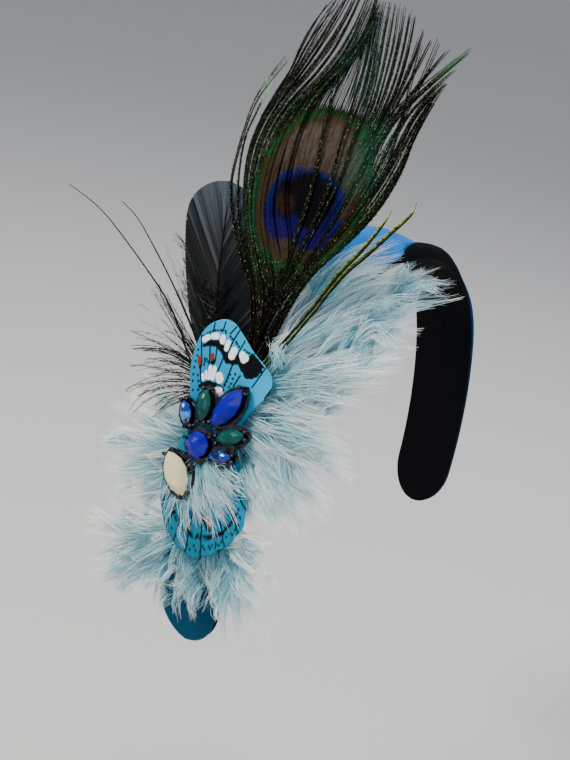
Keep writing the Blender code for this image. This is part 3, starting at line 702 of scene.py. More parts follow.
def make_black_feather(material):
    rng = np.random.default_rng(11)
    count = 190
    steps = 9
    strands = Strands()
    share = even_shares(count, steps)
    station = np.linspace(0.0, 1.0, count)
    for edge in (BLACK_BACK_EDGE, BLACK_FRONT_EDGE):
        edge = smooth_route(edge, 60)
        starts = at_share(BLACK_SPINE, station * 0.93)
        ends = at_share(edge, np.clip(station + 0.1 + rng.normal(0.0, 0.003, count), 0.0, 1.0))
        run = ends - starts
        along = unit(at_share(BLACK_SPINE, np.minimum(station + 0.05, 1.0)) - starts)
        middles = starts + run * 0.45 - along * 1.2
        lines = bezier(starts, middles, ends, share)
        cup = 1.6 * share ** 2 + rng.normal(0.0, 0.05, count)[:, None]
        centres = rising(lines[..., 0], lines[..., 1], BLACK_LAYER + 0.3 + cup)
        roll = rng.normal(0.12, 0.05, (count, 1))
        # Painted sheen: the tone rises towards the feather's top and towards the barb tips; the groove term
        # stripes it lighter and darker across the barbs
        groove = 0.5 + 0.5 * np.sin(station * 46.0)
        tone = 0.15 + (0.2 * groove + 0.4 * ramp(station, 0.35, 0.5))[:, None] + 0.3 * share
        tone = np.clip(tone + rng.normal(0.0, 0.1, (count, 1)), 0.0, 1.0)
        strands.ribbons(centres, roll, blend(0.46, 0.42, share), tone=tone)
    wisps = 64
    hand = rng.choice((-1.0, 1.0), wisps)
    heading = math.radians(112.0) + hand * np.radians(rng.uniform(30.0, 70.0, wisps))
    feet = at_share(BLACK_SPINE, rng.uniform(0.0, 0.42, wisps))
    lines, share = hairs_of_wisps(rng, feet, heading, -hand * rng.uniform(0.2, 0.8, wisps),
                                  rng.uniform(10.0, 17.0, wisps), 3, HAIR_STEPS)
    tufts = 26
    feet = at_share(smooth_route(BLACK_BACK_EDGE, 60), rng.uniform(0.16, 0.43, tufts)) + (1.0, 0.0)
    heading = np.radians(rng.uniform(108.0, 155.0, tufts))
    edge_hairs, edge_share = hairs_of_wisps(rng, feet, heading, rng.normal(0.0, 0.4, tufts),
                                            rng.uniform(5.0, 10.5, tufts), 3, HAIR_STEPS)
    lines = np.concatenate([lines, edge_hairs])
    share = np.concatenate([share, edge_share])
    centres = rising(lines[..., 0], lines[..., 1], BLACK_LAYER + 0.5 + 0.9 * rng.random((len(lines), 1)))
    roll = rng.uniform(0.0, math.pi, (len(lines), 1))
    strands.ribbons(centres, roll, blend(0.13, 0.04, share), tone=0.5 * rng.random((len(lines), 1)))
    hairs_on(strands, centres, rng, 0.9, lambda s: 2.6 - s, 0.09, (12.0, 36.0), lambda s: 0.3 + 0.1 * s)
    spine = smooth_route(BLACK_SPINE, 40)
    line = rising(spine[:, 0], spine[:, 1], BLACK_LAYER + 0.6)
    tube(strands, line, np.linspace(0.55, 0.15, 40), 6, tone=np.full(40, 0.2))
    feather = strands.to_object("black_feather_vane", material)
    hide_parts("black_feather")


# The peacock feather.  Guide barbs from the quill to their tips (across, up), from the outermost in.
BACK_GUIDES = (
    ((4.0, 24.0), (-2.5, 41.2), (-11.8, 55.0), (-18.3, 66.0), (-22.1, 74.6), (-24.8, 85.0),
     (-24.6, 96.0), (-22.7, 105.5), (-20.7, 113.1), (-19.9, 121.6), (-17.9, 130.0), (-13.9, 138.5)),
    ((4.0, 29.0), (0.1, 42.1), (-8.3, 54.1), (-15.4, 64.9), (-19.7, 75.3), (-21.7, 85.8), (-21.1, 95.0),
     (-18.5, 104.6), (-14.7, 113.2), (-11.3, 122.2), (-8.4, 134.0), (-7.5, 146.0)),
    ((4.0, 34.0), (2.1, 42.7), (-4.9, 53.3), (-11.4, 62.9), (-15.5, 74.6), (-16.8, 87.1), (-15.6, 96.4),
     (-11.9, 105.0), (-6.9, 113.8), (-3.4, 123.5), (-2.6, 134.0), (-2.3, 146.0)),
    ((4.0, 46.0), (0.2, 53.0), (-5.0, 60.0), (-9.6, 67.5), (-12.3, 77.4), (-13.3, 89.4), (-12.1, 98.6),
     (-10.4, 106.7), (-7.0, 113.0), (-1.6, 119.0), (1.0, 127.0), (2.0, 136.0)),
    ((3.3, 58.0), (1.0, 64.0), (-2.4, 70.0), (-5.6, 77.0), (-7.6, 86.1), (-8.6, 97.6), (-7.5, 106.0),
     (-5.0, 113.0), (-1.8, 119.5), (0.0, 126.0), (1.0, 133.0), (1.4, 141.0)),
    ((2.4, 72.0), (1.6, 76.0), (0.4, 81.0), (-0.9, 88.0), (-1.6, 95.5), (-1.9, 103.0), (-1.6, 109.0),
     (-0.9, 115.0), (0.2, 121.0), (0.6, 128.0), (0.6, 136.0), (-0.6, 143.0)))
FRONT_GUIDES = (
    ((6.0, 14.0), (8.4, 27.0), (9.9, 40.0), (12.6, 52.0), (17.2, 61.0), (24.0, 72.5), (27.8, 82.3),
     (29.6, 92.6), (29.6, 99.0), (29.8, 104.0), (30.0, 108.2)),
    ((5.0, 18.0), (7.2, 31.0), (9.0, 44.0), (13.2, 54.5), (18.4, 63.2), (22.9, 71.6), (26.6, 83.0),
     (28.8, 93.4), (29.5, 102.5), (30.9, 112.1), (33.1, 121.0)),
    ((4.3, 30.0), (6.0, 44.0), (11.3, 54.0), (15.8, 63.4), (19.6, 72.9), (23.9, 86.0), (25.9, 97.0),
     (26.9, 107.4), (29.6, 115.7), (33.2, 121.6)),
    ((4.2, 34.0), (5.4, 44.0), (9.0, 54.0), (13.4, 64.0), (16.6, 73.3), (19.1, 87.0), (19.4, 99.3),
     (23.3, 109.5), (30.0, 121.0), (38.0, 132.6)),
    ((4.2, 38.0), (5.0, 47.0), (7.9, 56.7), (11.2, 65.6), (13.8, 74.6), (16.4, 86.8), (18.6, 100.0),
     (20.4, 112.0), (22.2, 122.0), (23.8, 132.6)),
    ((4.1, 42.0), (4.9, 50.0), (7.3, 59.7), (9.2, 69.0), (11.0, 79.0), (13.4, 91.0), (16.6, 104.0),
     (18.2, 115.1), (17.4, 127.0), (15.2, 139.0)),
    ((4.0, 48.0), (4.3, 56.0), (5.4, 65.0), (6.8, 74.0), (8.6, 84.0), (11.2, 95.4), (13.8, 107.0),
     (12.9, 119.6), (11.2, 130.4), (8.4, 141.1)),
    ((3.6, 56.0), (3.6, 63.0), (4.2, 71.0), (5.2, 80.0), (6.8, 89.4), (9.0, 99.9), (9.4, 110.0),
     (8.1, 119.4), (5.5, 130.0), (3.7, 140.8)),
    ((2.4, 72.0), (2.4, 77.4), (2.5, 83.0), (2.7, 90.0), (3.3, 97.0), (3.6, 104.4), (3.4, 112.0),
     (2.8, 120.4), (1.4, 130.0), (0.2, 139.4)))
# Long barbs that have come away from the vane and lie over it
STRAY_BARBS = (
    ((3.0, 22.0), (-3.9, 40.7), (-13.7, 52.4), (-20.8, 62.0), (-26.7, 73.3), (-28.8, 87.8),
     (-29.0, 100.1), (-26.6, 108.5), (-23.3, 116.3)),
    ((3.0, 24.0), (-2.4, 40.4), (-12.8, 54.0), (-20.0, 65.2), (-24.8, 76.9), (-27.3, 88.3),
     (-26.5, 97.1), (-25.6, 103.0), (-24.7, 107.0)),
    ((4.0, 34.0), (4.2, 46.0), (4.0, 57.4), (3.4, 68.1), (3.0, 77.4), (1.5, 87.8), (-0.5, 99.9),
     (-1.6, 114.0), (-1.0, 128.0)),
    ((4.2, 30.0), (5.6, 46.0), (8.0, 60.0), (10.1, 75.1), (11.1, 86.0), (10.6, 97.6), (10.4, 110.0),
     (9.0, 124.0), (6.6, 138.0)),
    ((4.2, 30.0), (5.2, 44.0), (6.6, 58.0), (8.0, 70.0), (8.4, 82.0), (7.4, 94.0), (6.6, 106.0),
     (6.0, 118.0), (4.0, 133.0)),
    ((4.2, 28.0), (6.4, 45.0), (10.6, 58.0), (14.6, 72.0), (16.8, 85.0), (17.8, 99.0), (21.0, 109.0),
     (27.0, 118.0), (35.0, 129.0)),
    ((4.2, 28.0), (6.2, 44.0), (11.0, 56.0), (17.0, 68.0), (21.0, 82.0), (22.8, 96.0), (24.4, 109.0),
     (26.0, 121.0), (26.6, 132.4)),
    ((4.2, 28.0), (6.2, 42.0), (9.6, 52.0), (16.0, 64.0), (20.6, 76.0), (24.4, 90.0), (24.4, 104.0),
     (22.6, 118.0), (21.4, 130.4)))
# The feather's own quill, and the ovals of its eye
QUILL_ROUTE = ((2.0, 3.0), (4.0, 22.0), (4.0, 46.0), (3.2, 62.0), (2.2, 76.0))
EYE_CENTRE = (2.4, 72.4)
EYE_HALF = (13.7, 12.6)
EYE_SQUARENESS = 2.4
HEART_CENTRE = (1.9, 75.0)
HEART_HALF = (10.0, 9.0)
BRONZE_CENTRE = (2.2, 78.6)
BRONZE_HALF = (16.8, 22.0)
# Rings round the eye: edge, softness, shade
EYE_RINGS = (
    (1.45, 0.14, "#0b2210"), (1.3, 0.07, "#211f0a"), (1.2, 0.06, "#0b3a1e"), (1.11, 0.05, "#2f270e"),
    (1.03, 0.06, "#30271d"))
BARB_STEPS = 40
# Barbules 0.05 mm apart are too fine to show; they are drawn coarser, closer on the loose barbs
EYE_BARBULES = 0.45
LOOSE_BARBULES = 0.17
# Above this the barbs over the eye are bare
BARE_FROM = 101.0
# Shift of a barb that lies over the eye and takes none of its colours
OFF_THE_EYE = 2.0


def laid_over(colour, layers):
    """A colour with inks laid over it in turn, each by its mask."""
    for ink, mask in layers:
        colour = blend(colour, tint(ink), mask[..., None])
    return colour


def ellipse(u, v, centre, half, squareness=2.0):
    """One on the oval's rim, less inside it and more outside."""
    x = np.abs(u - centre[0]) / half[0]
    y = np.abs(v - centre[1]) / half[1]
    return (x ** squareness + y ** squareness) ** (1.0 / squareness)


def eye_colour(u, v, rng, shift=0.0):
    """Colour of a barb at a place on the vane, from the loose barbs in to the eye's heart.

    A barb's own shift moves its colour borders, so that they step from barb to barb.
    """
    shape = np.broadcast(u, v).shape
    ring = ellipse(u, v, BRONZE_CENTRE, BRONZE_HALF) + shift
    notch = 0.22 * np.exp(-((u - 2.0) / 2.6) ** 2) * (v < EYE_CENTRE[1])
    blue = ellipse(u, v, EYE_CENTRE, EYE_HALF, EYE_SQUARENESS) + notch + 0.6 * shift
    heart = ellipse(u, v, HEART_CENTRE, HEART_HALF) + 0.45 * np.exp(-((u - 0.5) / 2.6) ** 2) * (v < 72.0)
    in_blue = ramp(blue, 1.035, -0.07)
    in_heart = ramp(heart + 0.6 * shift, 1.06, -0.12)
    crest = ramp(v, 106.0, 10.0) * ramp(np.abs(u - 5.0), 13.0, -7.0)
    teal = ramp(u, 8.0, 6.0) * ramp(v, 76.0, 12.0) * ramp(u, 26.0, -6.0) * ramp(v, 108.0, -6.0)
    brown = in_heart * ramp(ellipse(u, v, (-4.6, 71.5), (3.6, 4.6)), 1.35, -0.8)
    layers = [("#0d1608", 0.7 * ramp(ring, 2.1, -0.9)), ("#12382a", 0.5 * crest)]
    layers += [(shade, ramp(ring, edge + softness / 2.0, -softness)) for edge, softness, shade in EYE_RINGS]
    layers += [
        ("#453c35", 0.85 * ramp(v, 80.0, 12.0) * ramp(ring, 1.05, -0.1)),
        ("#0a4434", 0.45 * teal),
        ("#04114a", in_blue),
        ("#060738", ramp(blue, 0.93, -0.12)),
        ("#150648", 0.85 * in_blue * ramp(v, 69.5, -5.0)),
        ("#020106", in_heart),
        ("#241411", 0.85 * brown),
        # Painted highlights: a pale green on the tips of the back barbs at the far left, and green on the
        # rope of barbs at the upper right
        ("#7cc48c", 0.8 * ramp(np.hypot(u + 25.4, 0.6 * (v - 104.6)), 3.4, -1.5)),
        ("#356a34", 0.6 * ramp(u, 28.0, 5.0) * ramp(v, 116.0, 6.0))]
    colour = laid_over(np.broadcast_to(tint("#0f0c05"), shape + (3,)), layers)
    return np.clip(colour * (1.0 + 0.25 * rng.normal(0.0, 1.0, shape)[..., None]), 0.0, 1.0)


def barbs_between(rng, guides, per_gap, ropes, steps):
    """Barbs that fill the vane between neighbouring guides, and gather into ropes near their tips."""
    gaps = len(guides) - 1
    gap = np.repeat(np.arange(gaps), per_gap)
    place = (np.tile(np.arange(per_gap), gaps) + rng.random(gaps * per_gap)) / per_gap
    gathered = blend(place, np.round(place * ropes) / ropes, 0.93)
    routes = np.array([smooth_route(guide, steps) for guide in guides])
    length = 1.0 - rng.exponential(0.035, len(gap))
    share = np.linspace(0.0, 1.0, steps)[None] * length[:, None]
    _, low, part = places(share, steps)
    outer, inner = (blend(routes[side[:, None], low], routes[side[:, None], low + 1], part)
                    for side in (gap, gap + 1))
    mix = blend(place[:, None], gathered[:, None], ramp(share, 0.56, 0.3))[..., None]
    drift = rng.normal(0.0, 0.3, (len(gap), 1, 2)) * (share ** 2)[..., None]
    return blend(outer, inner, mix) + drift, share


def in_eye(u, v):
    return ramp(ellipse(u, v, BRONZE_CENTRE, BRONZE_HALF), 1.3, -0.2)


def lay_barbs(strands, rng, lines, share, lift, spacing, half, baring, over_eye=False):
    """Barbs with their barbules, bare above the eye; those come away over it keep their own dark gold."""
    u = lines[..., 0]
    v = lines[..., 1]
    eye = np.zeros(u.shape) if over_eye else in_eye(u, v)
    window = 11.5 - 0.42 * (v - BARE_FROM) - np.abs(u - 2.0)
    bare = baring * ramp(v, BARE_FROM, 4.0) * smooth_step(window / 3.0)
    each = (len(lines), 1)
    shift = rng.normal(0.0, 0.018, each) + OFF_THE_EYE * over_eye
    swell = rng.normal(0.0, 0.25, each) * (1.0 - eye)
    swell = swell + 1.2 * rng.normal(0.3, 0.5, each) * ramp(share, 0.6, 0.4)
    centres = flat(u, v, PEACOCK_LAYER + 0.35 + lift + swell)
    roll = rng.normal(0.0, 0.6, each) * (1.0 - 0.9 * eye)
    taper = (1.0 - 0.8 * share ** 9) * blend(2.0, 1.0, smooth_step(share * 4.0))
    colour = laid_over(eye_colour(u, v, rng, shift), (("#050504", 0.8 * bare),))
    strands.ribbons(centres, roll, blend(half, 0.42, eye) * taper * (1.0 - 0.3 * bare), colour=colour)
    add_barbules(strands, rng, centres, lines, eye, bare, spacing, shift)


def add_barbules(strands, rng, centres, lines, eye_share, bare, spacing, shift):
    """Barbules down both sides of each barb; inside the eye they lie flat and close the vane."""
    count, steps = centres.shape[:2]
    reach = np.linalg.norm(np.diff(lines, axis=1), axis=2).sum(1).mean()
    per_barb = int(reach / spacing)
    share = np.sort(rng.random((count, per_barb)), axis=1)
    roots, run = roots_on(centres, share)
    u, v = np.moveaxis(roots_on(lines, share)[0], -1, 0)
    rows, low, _ = places(share, steps)
    eye = eye_share[rows, low]
    short = 1.0 - 0.8 * bare[rows, low]
    side = unit(np.cross(np.broadcast_to(PAD_OUT, run.shape), run))
    lift = np.cross(run, side)
    near_eye = ramp(ellipse(u, v, BRONZE_CENTRE, BRONZE_HALF), 2.3, -0.8)
    dusk = blend(rng.uniform(0.25, 1.1, (count, 1)), 1.0, eye)
    for hand in (-1.0, 1.0):
        roll = rng.normal(0.0, 1.0, share.shape) * (1.0 - 0.9 * eye)
        across = hand * side * np.cos(roll)[..., None] + lift * np.sin(roll)[..., None]
        lean = np.radians(rng.uniform(25.0, 48.0, share.shape))[..., None]
        way = run * np.cos(lean) + across * np.sin(lean)
        draw = rng.random(share.shape)
        gold = draw < 0.2
        size = blend(1.0, 1.3, eye) * rng.uniform(0.7, 1.25, share.shape) * (1.0 - 0.8 * share ** 9) * short
        size = size * np.where(gold, 0.55, 1.0) * MM
        width = unit(np.cross(way, lift)) * (blend(0.15, 0.3, eye) * MM)[..., None]
        colour = eye_colour(u, v, rng, shift) * dusk[..., None]
        loose = (1.0 - eye) * rng.random(share.shape) * dusk
        # Partly painted glints: on the loose barbs the shorter fifth of the barbules take a pale gold, partly
        # the bronze barbules' own colour and partly painted highlight; the green specks near the eye and in
        # the teal are partly their own colour and partly painted glints
        colour = laid_over(colour, (
            ("#efe2bc", loose * gold),
            ("#2f9a52", (draw > 0.88) * near_eye * ramp(v, 40.0, 14.0) * loose),
            ("#2f8f6a", 0.5 * (draw > 0.93) * eye * ramp(u, 9.0, 6.0) * ramp(v, 78.0, 8.0))))
        strands.slivers(roots.reshape(-1, 3), (way * size[..., None]).reshape(-1, 3),
                        width.reshape(-1, 3), colour=colour.reshape(-1, 3))


def make_peacock(material):
    rng = np.random.default_rng(23)
    vane = Strands()
    loose = Strands()
    for guides, loose_to, vane_from, ropes in ((BACK_GUIDES, 4, 3, 4), (FRONT_GUIDES, 5, 5, 2)):
        lines, share = barbs_between(rng, guides[:loose_to + 1], 12, ropes, BARB_STEPS)
        lay_barbs(loose, rng, lines, share, rng.random((len(lines), 1)), LOOSE_BARBULES, 0.26, 0.0)
        lines, share = barbs_between(rng, guides[vane_from:], 26, ropes + 1, BARB_STEPS)
        lay_barbs(vane, rng, lines, share, 0.4 * rng.random((len(lines), 1)), EYE_BARBULES, 0.17, 1.0)
    # A few at the back cross over the others near their tips
    lines, share = barbs_between(rng, BACK_GUIDES[:5], 5, 2, BARB_STEPS)
    lines = lines + np.array([2.2, -0.6]) * ramp(share, 0.45, 0.5)[..., None]
    lay_barbs(loose, rng, lines, share, 1.0 + rng.random((len(lines), 1)), LOOSE_BARBULES, 0.26, 0.0)
    bridge, share = barbs_between(rng, (BACK_GUIDES[-1], FRONT_GUIDES[-1]), 22, 4, BARB_STEPS)
    lay_barbs(vane, rng, bridge, share, 0.2 * rng.random((len(bridge), 1)), EYE_BARBULES, 0.12, 1.0)
    for route in STRAY_BARBS:
        line = smooth_route(route, BARB_STEPS)
        share = even_shares(3, BARB_STEPS)
        lines = line[None] + rng.normal(0.0, 0.35, (3, 1, 2)) * (0.3 + share)[..., None]
        lay_barbs(loose, rng, lines, share, 0.8 + 0.4 * rng.random((3, 1)), 0.3, 0.22, 0.0, over_eye=True)
    spine = smooth_route(QUILL_ROUTE, 60)
    line = flat(spine[:, 0], spine[:, 1], np.full(60, PEACOCK_LAYER + 0.1))
    tube(vane, line, np.linspace(0.7, 0.2, 60), 6, colour=np.tile(tint("#1c180c"), (60, 1)))
    for strands, name in ((vane, "peacock_eye_vane"), (loose, "peacock_loose_barbs")):
        piece = strands.to_object(name, material)
        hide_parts("peacock_feather")


# Two long barbs that stand in front of the feather (across, up, height)
SWORD_BARBS = (
    ((3.0, 5.0, 10.8), (5.5, 16.0, 10.8), (12.8, 31.5, 11.0), (17.6, 43.0, 11.2), (20.3, 50.4, 11.3),
     (23.2, 58.0, 11.4), (27.3, 66.4, 11.4), (29.6, 72.0, 11.4), (31.3, 76.8, 11.5), (32.2, 80.4, 11.6)),
    ((4.5, 5.0, 10.8), (7.0, 16.0, 10.8), (14.2, 31.5, 11.0), (19.2, 43.5, 11.2), (22.1, 51.5, 11.3),
     (25.4, 59.0, 11.4), (29.8, 66.0, 11.4), (34.4, 74.0, 11.4), (37.4, 78.8, 11.5), (38.9, 82.0, 11.5),
     (39.0, 85.0, 11.6)),
)


def make_sword_barbs(material):
    """Two thick barbs, dark gold below and flecked bright green towards their tips; the flecks gather on the
    upper side as a painted highlight.
    """
    rng = np.random.default_rng(31)
    strands = Strands()
    steps = 160
    sides = 8
    # Painted light: one side of each barb lit, the other shaded
    lit = 0.5 + 0.5 * np.cos(np.linspace(0.0, 2.0 * math.pi, sides, endpoint=False) - 1.14 * math.pi)
    for points in SWORD_BARBS:
        route = smooth_route(points, steps)
        line = flat(route[:, 0], route[:, 1], route[:, 2])
        share = np.linspace(0.0, 1.0, steps)
        bright = blend(0.3, 1.0, ramp(share, 0.5, 0.4)) * ramp(share, 0.99, -0.04)
        # Painted highlight: the bright green flecks crowd on the lit side; near the tip they lie all round
        edge = lit[None] ** 4 + 0.25 * ramp(share, 0.88, 0.06)[:, None]
        fleck_and_highlight = np.clip(bright[:, None] * edge * 2.4 * rng.random((steps, sides)) ** 1.5, 0.0, 1.0)
        colour = blend(tint("#0d0c05"), tint("#1a1f09"), ramp(share, 0.3, 0.3)[:, None])
        colour = laid_over(colour[:, None], (("#bcdc66", fleck_and_highlight),))
        radii = blend(0.42, 0.72, ramp(share, 0.25, 0.4)) * (1.0 - share ** 6) + 0.06
        tube(strands, line, radii, sides, colour=colour)
        short = 0.5 * ramp(share, 0.7, 0.2)[None]
        add_barbules(strands, rng, line[None], route[None, :, :2], np.zeros((1, steps)), short, 0.06,
                     np.full((1, 1), OFF_THE_EYE))
    barbs = strands.to_object("peacock_sword_strands", material)
    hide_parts("peacock_sword_barbs")


# The butterfly: one sheet between two rims, from the back edge to the front edge (across, up)
WING_RIM = (
    (-11.0, 3.0), (-14.4, 9.8), (-16.1, 16.0), (-15.8, 23.5), (-13.4, 28.4), (-9.3, 31.4), (-5.0, 31.6),
    (-1.0, 29.4), (5.6, 25.2), (11.4, 22.4), (14.2, 20.4), (15.4, 17.0), (14.3, 13.2), (11.9, 9.3),
    (9.6, 4.0))
TAIL_RIM = (
    (-8.0, -6.0), (-11.0, -14.0), (-12.0, -23.0), (-10.0, -31.0), (-6.0, -36.4), (-2.4, -39.2),
    (2.0, -41.0), (6.0, -41.3), (10.0, -39.4), (14.2, -36.4), (17.6, -32.6), (20.7, -28.0),
    (21.8, -22.4), (18.5, -13.0), (11.0, -5.0))
# How fast the upper wing lifts towards its edge, and where the two wings meet
WING_CUP = 0.0012
BODY_UP = -1.0

# The upper wing's print (across, up), each patch from a round start to a round end, with its half width
WHITE_SPOTS = (
    ((-13.8, 23.1), (-12.7, 24.1), 0.95), ((-10.9, 25.2), (-9.8, 25.6), 1.05),
    ((-7.4, 25.8), (-7.1, 24.8), 1.05), ((-4.8, 25.1), (-4.8, 23.1), 0.85),
    ((-1.9, 23.4), (-2.1, 21.6), 1.25), ((1.4, 23.2), (3.2, 22.6), 1.1),
    ((1.5, 23.0), (2.6, 21.9), 1.1), ((-10.1, 12.3), (-9.4, 11.0), 0.5),
    ((-9.3, 13.6), (-8.5, 11.8), 0.5), ((-8.4, 15.7), (-7.4, 12.2), 0.62),
    ((-6.6, 15.8), (-6.1, 12.6), 0.78), ((-4.0, 14.0), (-3.5, 13.2), 1.35),
    ((-4.4, 9.2), (-2.0, 10.2), 0.8))
# Painted shadow: grey over the lower part of a white spot, where the setting's shadow falls on it
SETTING_SHADOW_PATCH = ((-2.8, 7.6), (-1.8, 8.4), 1.9)
BLACK_BAND = (
    ((-13.2, 21.2), (-11.6, 22.2), 0.6), ((-11.6, 22.6), (-8.9, 23.4), 1.1),
    ((-8.9, 23.4), (-6.1, 22.4), 1.2), ((-6.1, 22.4), (-3.0, 19.6), 1.0),
    ((-3.6, 20.6), (-1.0, 19.8), 1.0), ((-8.6, 9.2), (-6.6, 10.6), 1.1),
    ((-6.6, 10.6), (-4.6, 10.7), 0.9), ((-9.6, 8.6), (-8.6, 9.6), 0.7), ((0.0, 22.1), (0.4, 20.4), 0.9),
    ((1.2, 21.0), (3.6, 19.0), 0.9), ((3.4, 21.4), (5.6, 18.2), 1.5), ((5.4, 23.4), (7.0, 18.4), 1.3),
    ((7.0, 22.6), (8.2, 19.6), 1.5), ((5.6, 24.3), (10.4, 22.2), 0.35), ((9.2, 21.8), (9.6, 20.8), 0.8),
    ((-12.3, 16.4), (-11.9, 14.2), 0.5), ((-8.3, 18.0), (-8.2, 17.0), 0.75))
RUST_SPOTS = (((-13.2, 16.9), (-12.8, 15.4), 0.75), ((-9.1, 19.3), (-8.9, 18.5), 0.85))
VEINS = (
    ((-15.4, 23.8), (-12.5, 17.1), (-11.6, 13.7), (-9.2, 8.8)), ((-12.0, 29.3), (-11.5, 26.2)),
    ((-10.9, 21.4), (-9.4, 17.2), (-9.1, 15.8)), ((-8.3, 30.8), (-8.2, 27.9)),
    ((-8.3, 21.8), (-7.3, 18.0), (-7.5, 16.9)), ((-3.7, 30.7), (-5.2, 27.9)),
    ((-4.7, 20.4), (-5.0, 16.8), (-5.0, 12.8)), ((-2.3, 30.0), (-3.2, 26.7), (-3.9, 21.7)),
    ((-0.8, 18.8), (-1.2, 11.8)), ((0.8, 27.6), (0.0, 24.1), (-0.4, 20.5)), ((3.3, 16.9), (2.2, 12.8)),
    ((5.6, 25.1), (5.3, 23.5)), ((11.2, 22.3), (9.7, 17.6), (8.9, 15.1)), ((15.5, 16.8), (14.4, 13.5)),
    ((-4.4, 11.6), (-1.5, 11.1), (-0.6, 10.5)))
VEIN_HALF = 0.27
DOT_ROWS = (
    (-14.7, 23.9), (-14.0, 24.3), (-13.3, 25.2), (-12.6, 25.9), (-11.7, 26.4), (-11.1, 27.0),
    (-10.2, 27.3), (-9.1, 27.8), (-8.4, 27.8), (-7.2, 28.2), (-6.9, 27.6), (-4.7, 27.1), (-3.9, 26.6),
    (-2.2, 26.2), (-1.6, 25.7), (-0.7, 25.2), (1.8, 24.9), (2.9, 24.6), (3.7, 24.6), (4.7, 24.5),
    (-14.8, 19.1), (-14.3, 17.3), (-14.3, 15.4), (-14.1, 13.4), (-13.5, 11.2), (-12.9, 9.2),
    (-11.6, 6.5), (-11.7, 11.6), (-10.8, 9.9), (-9.8, 7.3), (-11.4, 17.3), (-10.6, 17.4), (-10.9, 16.5),
    (-9.8, 16.8), (-10.9, 15.5), (-0.9, 17.3), (-0.4, 15.9), (-0.7, 14.7), (-0.6, 13.5), (-0.9, 12.1),
    (1.4, 16.7), (1.1, 15.1), (1.2, 13.4), (0.8, 12.2))
DOT_RADIUS = 0.42

# The lower wing's print
TAIL_BASE = (2.0, -6.0)
TAIL_VEIN_TIPS = (
    (-11.8, -19.0), (-10.8, -29.0), (-6.4, -36.0), (-2.4, -39.2), (3.0, -40.8), (9.2, -39.7),
    (17.1, -32.7), (20.9, -27.0), (21.4, -19.5))
TAIL_ARC = (
    (-8.0, -24.0), (-5.4, -29.4), (-0.6, -32.8), (3.8, -34.0), (6.5, -33.3), (8.4, -33.3),
    (10.1, -32.7), (13.6, -30.3), (15.4, -28.4), (17.4, -24.6), (18.6, -20.0))
TAIL_DOTS = (
    (3.4, -38.2), (4.6, -39.2), (6.0, -37.4), (7.0, -38.5), (8.6, -37.9), (9.2, -36.1), (10.2, -36.5),
    (11.4, -35.0), (12.2, -35.7), (12.8, -34.3), (13.8, -33.2), (14.0, -34.2), (15.0, -33.2),
    (15.8, -31.9), (17.0, -29.8), (17.8, -28.0), (18.9, -28.2), (19.5, -26.4), (20.2, -24.6),
    (20.1, -22.2), (0.6, -38.4), (-1.8, -37.0), (-4.0, -35.6), (-6.0, -33.6), (-8.0, -31.0),
    (-9.4, -28.2), (-10.2, -25.0), (-10.2, -21.6))


def patch(u, v, start, end, half, softness=0.16):
    """A mask of the points within half of the line from start to end."""
    run = np.array(end) - np.array(start)
    share = np.clip(((u - start[0]) * run[0] + (v - start[1]) * run[1]) / max(run @ run, 1e-9), 0.0, 1.0)
    away = np.hypot(u - start[0] - share * run[0], v - start[1] - share * run[1])
    return smooth_step((half - away) / softness + 0.5)


def patches(u, v, rows):
    mask = np.zeros(u.shape)
    for start, end, half in rows:
        mask = np.maximum(mask, patch(u, v, start, end, half))
    return mask


def fine_lines(u, v, routes, half):
    return patches(u, v, [(start, end, half) for route in routes for start, end in zip(route, route[1:])])


def paint_wing(u, v):
    """The upper wing's print: cyan with a black band, white spots, veins and rows of dots."""
    lobe = smooth_step((0.96 * (u - 10.2) - 0.30 * (v - 19.0)) / 0.5 + 0.5) * ramp(v, 20.5, -2.0)
    return laid_over(tint("#007cae"), (
        ("#0f9fcc", smooth_step((v + 0.6 * u) / 34.0)),
        ("#12a2cf", lobe),
        ("#020305", patches(u, v, BLACK_BAND)),
        ("#020305", fine_lines(u, v, VEINS, VEIN_HALF)),
        ("#020305", patches(u, v, [(dot, dot, DOT_RADIUS) for dot in DOT_ROWS])),
        ("#7d2c1e", patches(u, v, RUST_SPOTS)),
        # Painted shadow of the setting on a white spot
        ("#9fb2b8", patches(u, v, (SETTING_SHADOW_PATCH,))),
        ("#eef3f2", patches(u, v, WHITE_SPOTS))))


def paint_tail(u, v):
    """The lower wing's print: teal with veins, a black arc, a brown eye spot and a dotted edge."""
    veins = [(TAIL_BASE, tip) for tip in TAIL_VEIN_TIPS]
    scallops = [(point[0], point[1] - 0.9) for point in TAIL_ARC]
    return laid_over(tint("#00708c"), (
        ("#0080a0", ramp(v, -42.0, 22.0)),
        ("#020305", fine_lines(u, v, veins, VEIN_HALF)),
        ("#020305", fine_lines(u, v, (TAIL_ARC, scallops), 0.3)),
        ("#020305", patches(u, v, [(dot, dot, DOT_RADIUS) for dot in TAIL_DOTS])),
        ("#020305", patches(u, v, (((8.6, -27.6), (10.2, -29.2), 1.7),))),
        ("#8a5f55", patches(u, v, (((8.8, -27.2), (9.8, -28.0), 1.3),)))))


